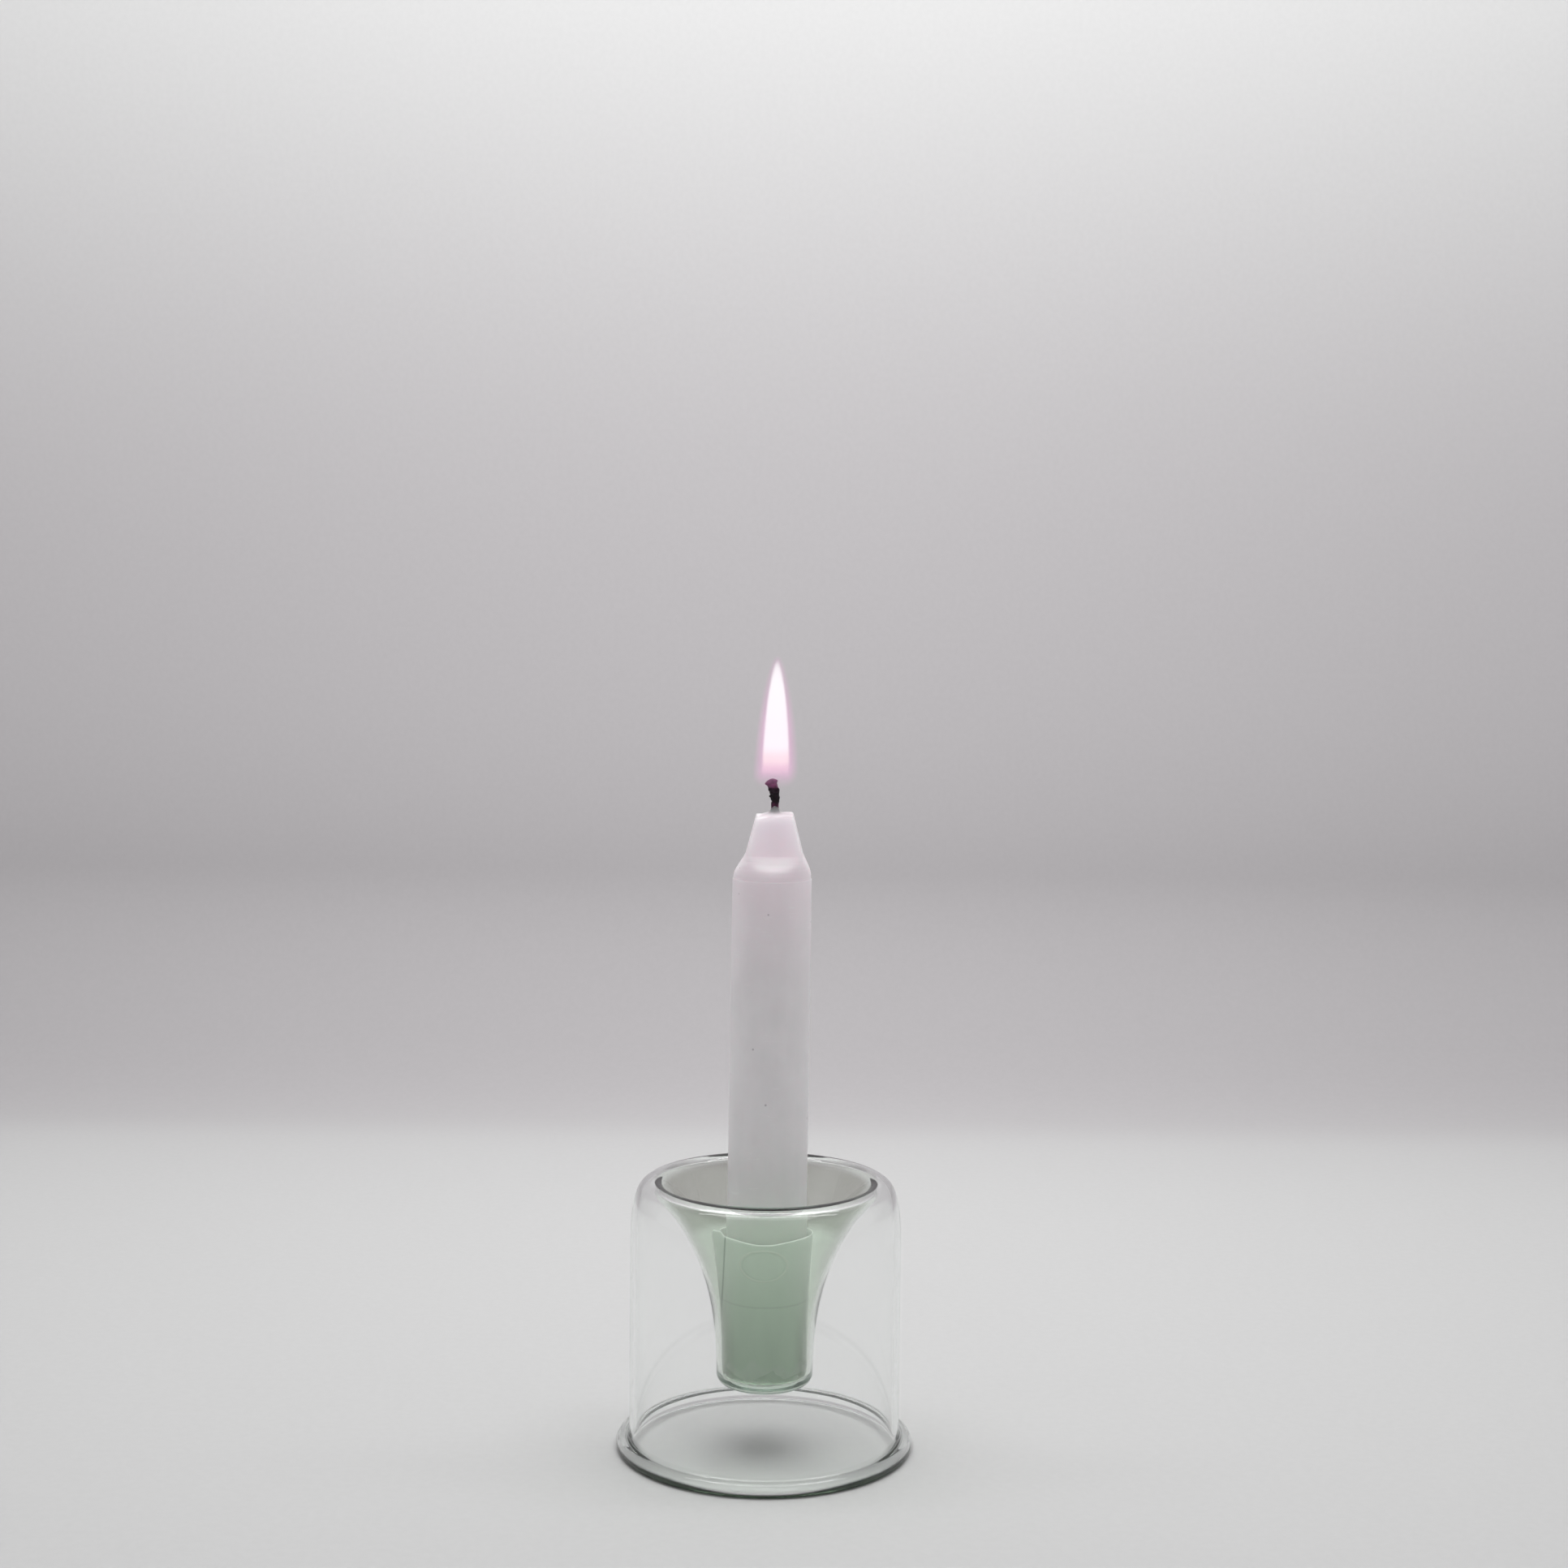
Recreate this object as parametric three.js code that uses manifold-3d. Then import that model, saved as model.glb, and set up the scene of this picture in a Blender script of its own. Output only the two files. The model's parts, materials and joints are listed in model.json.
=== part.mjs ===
// Double-walled glass candlestick holding a lit household candle.
//
// Millimetres, +Z up. The origin is the centre of the foot circle, on the surface the glass stands on.
// A clear outer bell stands on a rolled foot. Its shoulder turns in to a round crest, where a tinted
// trumpet-shaped cup hangs from it. A strip of thin film rolled round the candle's foot packs it in the
// cup. The candle carries its wick and its flame, and stands with a very slight lean.

import * as THREE from 'three';
import Module from 'manifold-3d';
import { mergeVertices } from 'three/addons/utils/BufferGeometryUtils.js';

const wasm = await Module();
wasm.setup();

// ---------- driving dimensions ----------

// Clearances
const fitGap = 0.3;             // between any two pieces that touch in use

// Outer bell
const bellRadius = 37.5;        // outside of the straight wall
const bellHeight = 75.4;        // table to crest
const bellWall = 1.8;
const beadRadius = 2.0;         // rolled edge of the foot
const footSpread = 3.6;         // foot beyond the wall
const landWidth = 1.4;          // flat ring the foot stands on
const footRise = 8.0;           // height over which the wall flares into the foot
const shoulderDrop = 20.6;      // crest down to the start of the shoulder
const shoulderRun = 6.5;        // crest in from the wall
const crestThickness = 1.9;     // glass at the crest, where cup and bell join
const crestRoll = 3.0;          // radius over which the crest turns down into the cup
const cavityInset = 4.8;        // highest ring of the cavity in from the inside of the wall

// Candle cup
const cupWall = 1.45;
const cupFloorHeight = 20.6;    // table to the floor the candle stands on
const cupFloorThickness = 2.4;
const cupOuterCorner = 3.0;
const cupInnerCorner = 1.5;
const flareAngle = 56;          // degrees, slope of the cup where it leaves the crest

// Candle
const candleRadius = 11.1;      // at its foot
const candleTaper = 0.28;       // less radius at the shoulder than at the foot
const candleShoulder = 138.3;   // foot of the candle to the start of its shoulder
const candleFootRound = 1.1;
const shoulderRise = 6.6;       // height of the sloping shoulder
const tipLength = 11.2;         // square tip above the shoulder
const tipBaseHalf = 7.9;        // half the side of the tip where it leaves the shoulder
const tipTopHalf = 4.98;
const tipOffset = 0.5;          // tip and wick off the candle's axis
const waxPeak = 1.8;            // wax standing up round the wick
const candleLean = 0.33;        // degrees, towards +X

// Wick
const wickRadius = 1.0;
const wickExposed = 9.3;        // wick above the top of the tip

// Flame
const flameRadius = 3.7;
const flameLength = 30.5;       // widest level to the point
const flameBelly = 1.2;         // widest level down to the underside

// Fitting film
const filmThickness = 0.25;
const filmHeight = 38.6;
const filmOpening = 1.5;        // more radius at its top edge than in the socket
const filmTail = 2.0;           // how far the free end stands off at the top
const filmLap = 0.93;           // share of a full turn that the strip covers

// ---------- sizes worked out from them ----------

const footRadius = bellRadius + footSpread;
const beadCentre = new THREE.Vector2(
  footRadius - beadRadius,
  Math.sqrt(beadRadius ** 2 - (landWidth / 2) ** 2),
);
const crestRadius = bellRadius - shoulderRun;
const cavityRadius = bellRadius - bellWall - cavityInset;
const cavityTop = bellHeight - crestThickness;
const shoulderStart = bellHeight - shoulderDrop;
const filmRadius = candleRadius + fitGap;
const socketRadius = filmRadius + filmThickness + fitGap;
const cupRadius = socketRadius + cupWall;
const cupUnderside = cupFloorHeight - cupFloorThickness;
const candleTop = candleShoulder + shoulderRise + tipLength;
const shoulderRadius = candleRadius - candleTaper;
const boreRadius = wickRadius + fitGap;
const wickTop = candleTop + wickExposed;
const filmFoot = cupInnerCorner;

// ---------- helpers ----------

const LATHE_STEPS = 40;

/** Points of a curve as Vector2 (r, z). */
function bezier(start, startHandle, endHandle, end, steps) {
  const curve = new THREE.CubicBezierCurve(
    new THREE.Vector2(...start),
    new THREE.Vector2(...startHandle),
    new THREE.Vector2(...endHandle),
    new THREE.Vector2(...end),
  );
  return curve.getPoints(steps);
}

/** Points of an arc about (r, z) from one angle to another, in degrees from +r. */
function arc(r, z, radius, fromDegrees, toDegrees, steps) {
  const points = [];
  for (let i = 0; i <= steps; i += 1) {
    const angle = THREE.MathUtils.degToRad(THREE.MathUtils.lerp(fromDegrees, toDegrees, i / steps));
    points.push(new THREE.Vector2(r + radius * Math.cos(angle), z + radius * Math.sin(angle)));
  }
  return points;
}

/** Revolves a profile of (r, z) points about +Z. */
function revolve(profile, steps = LATHE_STEPS) {
  const geometry = new THREE.LatheGeometry(profile, steps);
  geometry.rotateX(Math.PI / 2);
  return geometry;
}

/** Revolves a closed ring profile, given anticlockwise in the (r, z) plane. */
function revolveRing(profile, steps = LATHE_STEPS) {
  return revolve([...profile, profile[0].clone()], steps);
}

/** A manifold-3d solid of a closed geometry. */
function solidOf(geometry) {
  const bare = geometry.clone();
  bare.deleteAttribute('normal');
  bare.deleteAttribute('uv');
  const merged = mergeVertices(bare, 1e-4);
  return new wasm.Manifold(new wasm.Mesh({
    numProp: 3,
    vertProperties: new Float32Array(merged.attributes.position.array),
    triVerts: new Uint32Array(merged.index.array),
  }));
}

/** The three.js geometry of a manifold-3d solid. */
function geometryOf(solid) {
  const mesh = solid.getMesh();
  const geometry = new THREE.BufferGeometry();
  geometry.setAttribute('position', new THREE.BufferAttribute(new Float32Array(mesh.vertProperties), 3));
  geometry.setIndex(new THREE.BufferAttribute(new Uint32Array(mesh.triVerts), 1));
  geometry.computeVertexNormals();
  return geometry;
}

/** A named mesh with its own material. */
function piece(name, geometry, look) {
  const mesh = new THREE.Mesh(geometry, new THREE.MeshStandardMaterial(look));
  mesh.name = name;
  return mesh;
}

// ---------- glass ----------

/** The clear bell: foot bead, flare, straight wall and shoulder, up to the seam at the crest. */
function outerBell() {
  const seamTop = crestRadius + fitGap / 2;
  const seamFoot = cavityRadius + fitGap / 2;
  const innerWall = bellRadius - bellWall;
  const landHalf = landWidth / 2;
  const landAngle = THREE.MathUtils.radToDeg(Math.asin(landHalf / beadRadius));
  const beadTop = beadCentre.y + beadRadius;
  const profile = [
    ...arc(beadCentre.x, beadCentre.y, beadRadius, -90 + landAngle, 90, 8),
    ...bezier(
      [beadCentre.x - 0.2, beadTop],
      [bellRadius + 0.2, beadTop],
      [bellRadius, beadTop + 0.8],
      [bellRadius, footRise],
      4,
    ),
    ...bezier(
      [bellRadius, shoulderStart],
      [bellRadius, shoulderStart + 0.76 * shoulderDrop],
      [crestRadius + 0.8 * shoulderRun, bellHeight],
      [seamTop, bellHeight],
      9,
    ),
    ...bezier(
      [seamFoot, cavityTop],
      [cavityRadius + 0.7 * cavityInset, cavityTop],
      [innerWall, cavityTop - 2.8],
      [innerWall, shoulderStart],
      6,
    ),
    ...bezier(
      [innerWall, footRise],
      [innerWall, 3.2],
      [beadCentre.x - landHalf - 1.3, 0.9],
      [beadCentre.x - landHalf, 0],
      5,
    ),
  ];
  return piece('outer_bell', revolveRing(profile), {
    color: 0xe6ebe8, roughness: 0.03, metalness: 0, transparent: true, opacity: 0.3,
  });
}

/** The tinted cup: a round-bottomed socket that flares like a trumpet up to the crest. */
function candleCup() {
  const seamTop = crestRadius - fitGap / 2;
  const seamFoot = cavityRadius - fitGap / 2;
  const outerCorner = cupUnderside + cupOuterCorner;
  const innerCorner = cupFloorHeight + cupInnerCorner;
  const slope = THREE.MathUtils.degToRad(flareAngle);
  const downFlare = ([r, z], far) => [r - far * Math.cos(slope), z - far * Math.sin(slope)];
  const fold = [cavityRadius - 0.7, cavityTop - 0.8];
  const over = arc(seamTop, bellHeight - crestRoll, crestRoll, 90, 90 + flareAngle, 4);
  const lip = over.at(-1).toArray();
  const profile = [
    new THREE.Vector2(0, cupUnderside),
    ...arc(cupRadius - cupOuterCorner, outerCorner, cupOuterCorner, -90, 0, 6),
    ...bezier(
      [cupRadius, outerCorner + 0.2],
      [cupRadius, outerCorner + 28],
      downFlare(fold, 15),
      fold,
      13,
    ).slice(1),
    new THREE.Vector2(seamFoot, cavityTop),
    ...over,
    ...bezier(
      lip,
      downFlare(lip, 12),
      [socketRadius, innerCorner + 24],
      [socketRadius, innerCorner + 4],
      12,
    ).slice(1),
    ...arc(socketRadius - cupInnerCorner, innerCorner, cupInnerCorner, 0, -90, 4),
    new THREE.Vector2(0, cupFloorHeight),
  ];
  return piece('candle_cup', revolve(profile), {
    color: 0xa9c0ab, roughness: 0.03, metalness: 0, transparent: true, opacity: 0.5,
  });
}

// ---------- candle ----------

/** The wax: a slightly tapered round stick with a sloping shoulder and a square tip, bored for the wick. */
function candleBody() {
  const shoulderTop = candleShoulder + shoulderRise;
  const stick = revolve([
    new THREE.Vector2(0, 0),
    ...arc(candleRadius - candleFootRound, candleFootRound, candleFootRound, -90, 0, 4),
    ...bezier(
      [shoulderRadius, candleShoulder],
      [shoulderRadius, candleShoulder + 2.2],
      [tipBaseHalf + 1.2, shoulderTop - 2.2],
      [tipBaseHalf - 0.4, shoulderTop],
      6,
    ),
    new THREE.Vector2(0, shoulderTop),
  ], 40);

  const slope = (tipBaseHalf - tipTopHalf) / tipLength;
  const tipHeight = shoulderRise + tipLength;
  const tipStartHalf = tipTopHalf + slope * tipHeight;
  const square = new THREE.CylinderGeometry(
    tipTopHalf * Math.SQRT2, tipStartHalf * Math.SQRT2, tipHeight, 4, 1,
  );
  square.rotateX(Math.PI / 2);
  square.rotateZ(Math.PI / 4);
  square.translate(tipOffset, 0, candleShoulder + tipHeight / 2);
  const sleeve = new THREE.CylinderGeometry(shoulderRadius - 0.2, shoulderRadius - 0.2, 2 * tipHeight, 40, 1);
  sleeve.rotateX(Math.PI / 2);
  sleeve.translate(0, 0, candleShoulder + tipHeight);

  const peak = revolve([
    new THREE.Vector2(0, candleTop - 1),
    new THREE.Vector2(boreRadius + 1.2, candleTop - 1),
    new THREE.Vector2(boreRadius + 1.0, candleTop),
    new THREE.Vector2(boreRadius + 0.3, candleTop + waxPeak),
    new THREE.Vector2(0, candleTop + waxPeak),
  ], 16);
  peak.translate(tipOffset, 0, 0);
  const bore = new THREE.CylinderGeometry(boreRadius, boreRadius, 2 * candleTop, 16, 1);
  bore.rotateX(Math.PI / 2);
  bore.translate(tipOffset, 0, candleTop / 2);

  const tip = solidOf(square).intersect(solidOf(sleeve));
  const wax = solidOf(stick).add(tip).add(solidOf(peak)).subtract(solidOf(bore));
  return piece('candle_body', geometryOf(wax), { color: 0xc9c4ca, roughness: 0.55, metalness: 0 });
}

/** The wick, whole: straight through the wax, then curling over to -X above it. */
function wick() {
  const path = new THREE.CurvePath();
  const straightTop = new THREE.Vector3(tipOffset, 0, candleTop + 0.35 * wickExposed);
  path.add(new THREE.LineCurve3(new THREE.Vector3(tipOffset, 0, 0), straightTop));
  path.add(new THREE.CubicBezierCurve3(
    straightTop,
    new THREE.Vector3(tipOffset, 0, candleTop + 0.6 * wickExposed),
    new THREE.Vector3(tipOffset - 0.6, 0, candleTop + 0.8 * wickExposed),
    new THREE.Vector3(tipOffset - 1.3, 0, wickTop - 0.4),
  ));
  const section = new THREE.Shape();
  section.absarc(0, 0, wickRadius, 0, 2 * Math.PI);
  const geometry = new THREE.ExtrudeGeometry(section, {
    extrudePath: path, steps: 60, curveSegments: 4, bevelEnabled: false,
  });
  return piece('wick', geometry, { color: 0x2a2024, roughness: 0.95, metalness: 0 });
}

/** The flame: a pointed teardrop just above the wick. Radius = R (1 - t^1.5)^0.54 up to its point. */
function flame() {
  const widest = wickTop + fitGap + flameBelly;
  const profile = [new THREE.Vector2(0, widest - flameBelly)];
  for (let i = 1; i <= 4; i += 1) {
    const angle = (i / 4) * Math.PI / 2;
    profile.push(new THREE.Vector2(flameRadius * Math.sin(angle), widest - flameBelly * Math.cos(angle)));
  }
  for (let i = 1; i < 12; i += 1) {
    const t = i / 12;
    profile.push(new THREE.Vector2(flameRadius * (1 - t ** 1.5) ** 0.54, widest + flameLength * t));
  }
  profile.push(new THREE.Vector2(0, widest + flameLength));
  return piece('flame', revolve(profile, 20), {
    color: 0xfff2f4, emissive: 0xffeef2, roughness: 1, metalness: 0, transparent: true, opacity: 0.9,
  });
}

// ---------- fitting film ----------

/** The film: a strip rolled nearly once round the candle, opening a little upwards, one end standing off. */
function fitFilm() {
  const turn = 2 * Math.PI * filmLap;
  const firstAngle = -Math.PI + (2 * Math.PI - turn) / 2;
  const segments = 36;
  const section = new THREE.Shape();
  for (let i = 0; i <= segments; i += 1) {
    const angle = firstAngle + turn * i / segments;
    const r = filmRadius + filmThickness;
    section[i === 0 ? 'moveTo' : 'lineTo'](r * Math.cos(angle), r * Math.sin(angle));
  }
  for (let i = segments; i >= 0; i -= 1) {
    const angle = firstAngle + turn * i / segments;
    section.lineTo(filmRadius * Math.cos(angle), filmRadius * Math.sin(angle));
  }
  section.closePath();
  const geometry = new THREE.ExtrudeGeometry(section, {
    depth: filmHeight, steps: 6, bevelEnabled: false,
  });
  const position = geometry.attributes.position;
  for (let i = 0; i < position.count; i += 1) {
    const x = position.getX(i);
    const y = position.getY(i);
    const up = position.getZ(i) / filmHeight;
    const alongTurn = (Math.atan2(y, x) - firstAngle) / turn;
    const fromFreeEnd = THREE.MathUtils.clamp(1 - alongTurn / 0.16, 0, 1);
    const open = filmOpening * up ** 2 + filmTail * up ** 2 * fromFreeEnd ** 2;
    const r = Math.hypot(x, y);
    position.setXY(i, x * (r + open) / r, y * (r + open) / r);
  }
  geometry.translate(0, 0, filmFoot);
  return piece('fit_film', geometry, {
    color: 0xd4dcd4, roughness: 0.6, metalness: 0, transparent: true, opacity: 0.85,
  });
}

// ---------- assembly ----------

const candlestick = new THREE.Group();
candlestick.add(outerBell(), candleCup());

const leaning = new THREE.Group();
leaning.position.set(0, 0, cupFloorHeight);
leaning.rotation.y = THREE.MathUtils.degToRad(candleLean);
candlestick.add(leaning);

const film = fitFilm();
film.position.z = fitGap;
leaning.add(film);

const litCandle = new THREE.Group();
litCandle.position.z = fitGap;
litCandle.add(candleBody(), wick(), flame());
leaning.add(litCandle);

export default candlestick;
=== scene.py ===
import json
import math

import bpy
import numpy as np
from mathutils import Matrix, Vector

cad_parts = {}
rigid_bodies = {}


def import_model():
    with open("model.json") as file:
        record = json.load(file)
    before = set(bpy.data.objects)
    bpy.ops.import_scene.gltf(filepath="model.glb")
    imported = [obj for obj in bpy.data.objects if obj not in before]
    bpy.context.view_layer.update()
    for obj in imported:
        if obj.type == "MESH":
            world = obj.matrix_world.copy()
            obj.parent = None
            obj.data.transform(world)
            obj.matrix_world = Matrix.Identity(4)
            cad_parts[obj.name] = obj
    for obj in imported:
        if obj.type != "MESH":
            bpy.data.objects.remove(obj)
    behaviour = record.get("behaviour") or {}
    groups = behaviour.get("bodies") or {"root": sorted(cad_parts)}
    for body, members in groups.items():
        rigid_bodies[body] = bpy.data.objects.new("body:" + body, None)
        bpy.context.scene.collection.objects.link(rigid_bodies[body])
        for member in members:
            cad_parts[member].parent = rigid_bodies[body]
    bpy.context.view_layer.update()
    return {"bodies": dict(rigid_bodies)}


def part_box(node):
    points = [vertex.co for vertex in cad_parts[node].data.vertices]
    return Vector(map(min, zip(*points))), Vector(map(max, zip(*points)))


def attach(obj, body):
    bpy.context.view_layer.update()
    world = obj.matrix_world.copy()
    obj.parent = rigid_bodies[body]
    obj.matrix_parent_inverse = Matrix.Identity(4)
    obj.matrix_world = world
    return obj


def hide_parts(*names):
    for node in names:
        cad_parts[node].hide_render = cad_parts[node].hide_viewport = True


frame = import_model()

bl_info = {
    "name": "Glass Candlestick",
    "version": (1, 0, 0),
    "blender": (4, 5, 0),
    "location": "View3D > Sidebar > Candlestick",
    "description": "Double-walled glass candlestick with a lit candle, on a pale stage",
    "category": "Object",
}

MM = 0.001
BELL_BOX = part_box("outer_bell")
CUP_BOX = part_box("candle_cup")
CANDLE_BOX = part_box("candle_body")
WICK_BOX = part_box("wick")
FLAME_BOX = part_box("flame")
FILM_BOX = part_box("fit_film")
CLEARANCE = 0.3 * MM  # between the wax and what it stands on or is cast round
POLE = 0.2 * MM  # radius at which a turned surface closes to one point


# ---------- property helpers ----------

def length(name, description, millimetres):
    """A size, kept in metres and given here in millimetres."""
    return bpy.props.FloatProperty(
        name=name, description=description, default=millimetres * MM, min=0.0, max=10.0,
        unit="LENGTH", subtype="DISTANCE", precision=5,
    )


def colour(name, description, default):
    """A colour, linear red, green and blue."""
    return bpy.props.FloatVectorProperty(
        name=name, description=description, default=default, size=3, min=0.0, max=4.0, subtype="COLOR",
    )


def share(name, description, default, high=1.0):
    """A plain number from 0 up."""
    return bpy.props.FloatProperty(name=name, description=description, default=default, min=0.0, max=high)


# ---------- settings ----------

class GlassSettings(bpy.types.PropertyGroup):
    bell_radius: length("Bell radius", "Outside of the straight wall", 37.5)
    bell_height: length("Bell height", "Table to the crest", BELL_BOX[1].z / MM)
    bell_wall: length("Bell wall", "Thickness of the straight wall", 1.8)
    foot_radius: length("Foot radius", "Outside of the rolled foot", BELL_BOX[1].x / MM)
    bead_radius: length("Bead radius", "Radius of the rolled edge of the foot", 2.0)
    land_width: length("Land width", "Flat ring the foot stands on", 1.4)
    foot_rise: length("Foot rise", "Height over which the wall flares into the foot", 8.0)
    shoulder_drop: length("Shoulder drop", "Crest down to the start of the shoulder", 20.6)
    shoulder_run: length("Shoulder run", "Crest in from the straight wall", 6.5)
    crest_thickness: length("Crest thickness", "Glass at the crest, where cup and bell join", 1.9)
    crest_roll: length("Crest roll", "Radius over which the crest turns down into the cup", 3.0)
    cavity_inset: length("Cavity inset", "Highest ring of the cavity in from the wall", 4.8)
    flare_angle: bpy.props.FloatProperty(
        name="Flare angle", description="Slope of the cup where it leaves the crest",
        default=math.radians(56), subtype="ANGLE",
    )
    socket_radius: length("Socket radius", "Inside of the cup round the candle", 11.95)
    cup_wall: length("Cup wall", "Thickness of the socket's wall", 1.45)
    cup_underside: length("Cup underside", "Table to the lowest point of the cup", CUP_BOX[0].z / MM)
    cup_floor: length("Cup floor", "Table to the floor the candle stands on", 20.6)
    clear_tint: colour("Clear tint", "What one wall of the bell lets through", (1.0, 0.998, 1.0))
    cup_tint: colour("Cup tint", "What one wall of the cup lets through", (0.845, 0.965, 0.84))
    # Painted shade: this colour greys the cup's far side and its sides.
    painted_shade_tint: colour("Smoke tint", "What the smoky far side of the cup lets through", (0.37, 0.355, 0.325))
    # Painted shade: this colour darkens the front of the foot's underside.
    painted_bead_shade_tint: colour("Bead tint", "What the underside of the foot lets through", (0.002, 0.004, 0.002))
    edge_tint: colour("Edge tint", "Colour of the glass seen through its length", (0.40, 0.72, 0.52))
    edge_depth: share("Edge depth", "How fast the glass darkens with its thickness, per metre", 10.0, 1000.0)
    ripple: share("Ripple", "Strength of the hand-worked waviness of the surface", 0.04)


class CandleSettings(bpy.types.PropertyGroup):
    radius: length("Radius", "At the foot", 11.1)
    taper: length("Taper", "Less radius at the shoulder than at the foot", 0.28)
    shoulder: length("Shoulder", "Foot of the candle to the start of its shoulder", 138.3)
    shoulder_rise: length("Shoulder rise", "Height of the sloping shoulder", 6.6)
    tip_length: length("Tip length", "Square tip above the shoulder", 11.2)
    tip_base: length("Tip base", "Half the side of the tip where it leaves the shoulder", 7.9)
    tip_top: length("Tip top", "Half the side of the tip at its top", 4.98)
    tip_offset: length("Tip offset", "Tip and wick off the candle's axis", 0.5)
    foot_height: length("Foot height", "Table to the foot of the candle", CANDLE_BOX[0].z / MM)
    lean: bpy.props.FloatProperty(
        name="Lean", description="Lean of the candle towards +X", default=math.radians(0.33), subtype="ANGLE",
    )
    wax: colour("Wax", "Colour of the wax", (0.77, 0.75, 0.765))
    wax_pale: colour("Pale wax", "Colour of the cloudy patches in the wax", (0.82, 0.80, 0.815))
    wax_lit: colour("Lit wax", "Colour of the wax near the flame, which shines into it", (0.98, 0.845, 0.915))
    wick_radius: length("Wick radius", "Radius of the wick", 1.0)
    wick_exposed: length("Wick exposed", "Wick above the top of the tip", 9.3)
    char: colour("Char", "Burnt part of the wick", (0.006, 0.003, 0.005))
    ember: colour("Ember", "Tip and foot of the wick", (0.16, 0.035, 0.10))


class FilmSettings(bpy.types.PropertyGroup):
    radius: length("Radius", "Inside of the roll at its foot", 11.4)
    thickness: length("Thickness", "Thickness of the film", 0.25)
    foot: length("Foot", "Table to the lower edge", FILM_BOX[0].z / MM)
    top: length("Top", "Table to the upper edge", FILM_BOX[1].z / MM)
    opening: length("Opening", "More radius at the upper edge than at the foot", 1.3)
    tail: length("Tail", "How far the free end stands off at the top", 2.0)
    lap: share("Lap", "Share of a full turn that the strip covers", 0.93)
    # Painted light: the green of this tone is the cast of the cup's green glass on a white film.
    tone: colour("Tone", "Colour of the film", (0.88, 0.94, 0.88))


class FlameSettings(bpy.types.PropertyGroup):
    radius: length("Radius", "Half the width of the bright part", 3.7)
    foot: length("Foot", "Table to the widest level of the flame", 187.8)
    top: length("Top", "Table to the point of the flame", FLAME_BOX[1].z / MM)
    halo: length("Halo", "How far the faint glow stands round the bright part", 2.4)
    core: colour("Core", "Brightest part", (1.0, 1.0, 1.0))
    peach: colour("Peach", "Below the brightest part", (0.96, 0.80, 0.81))
    blush: colour("Blush", "Over the wick", (0.84, 0.61, 0.70))
    lilac: colour("Lilac", "Lowest part, round the wick", (0.68, 0.48, 0.62))
    glow: colour("Glow", "Faint glow round the flame", (1.12, 0.55, 0.93))
    light: share("Light", "Strength of the light that the flame gives, in watts", 0.006, 10.0)


class StageSettings(bpy.types.PropertyGroup):
    sweep_start: length("Sweep start", "Object to where the floor begins to rise", 400)
    sweep_radius: length("Sweep radius", "Radius of the rise", 100)
    wall_height: length("Wall height", "Top of the backdrop", 1500)
    half_width: length("Half width", "Half the width of the backdrop", 1600)
    paper: colour("Paper", "Colour of the backdrop paper", (0.71, 0.71, 0.71))
    softbox: share("Softbox", "Power of the overhead softbox, in watts", 8.8, 1000.0)
    wall_light: share("Wall light", "Power of the strip light over the backdrop, in watts", 6.0, 1000.0)
    room: share("Room", "Brightness of the pale room round the stage", 0.48, 10.0)
    room_front: share("Room front", "Brightness of the room on the camera's side", 0.56, 10.0)


# ---------- surfaces ----------

def bezier(start, start_handle, end_handle, end, steps):
    """Points of a cubic curve: (1-t)^3 A + 3(1-t)^2 t B + 3(1-t) t^2 C + t^3 D, t from 0 to 1."""
    t = np.linspace(0.0, 1.0, steps + 1)[:, None]
    a, b, c, d = (np.asarray(p, float) for p in (start, start_handle, end_handle, end))
    return (1 - t) ** 3 * a + 3 * (1 - t) ** 2 * t * b + 3 * (1 - t) * t ** 2 * c + t ** 3 * d


def arc(centre, radius, from_degrees, to_degrees, steps):
    """Points of an arc: centre + radius (cos a, sin a), a even between two angles."""
    a = np.radians(np.linspace(from_degrees, to_degrees, steps + 1))
    return np.stack([centre[0] + radius * np.cos(a), centre[1] + radius * np.sin(a)], -1)


def smooth(low, high, value):
    """0 below low, 1 above high, and 3t^2 - 2t^3 between them."""
    t = np.clip((value - low) / (high - low), 0.0, 1.0)
    return t * t * (3 - 2 * t)


def resample(curve, steps):
    """The same curve through points at even distances along it."""
    gaps = np.linalg.norm(np.diff(curve, axis=0), axis=1)
    along = np.concatenate([[0.0], np.cumsum(gaps)])
    even = np.linspace(0.0, along[-1], steps + 1)
    return np.stack([np.interp(even, along, curve[:, k]) for k in range(curve.shape[1])], -1)


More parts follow.
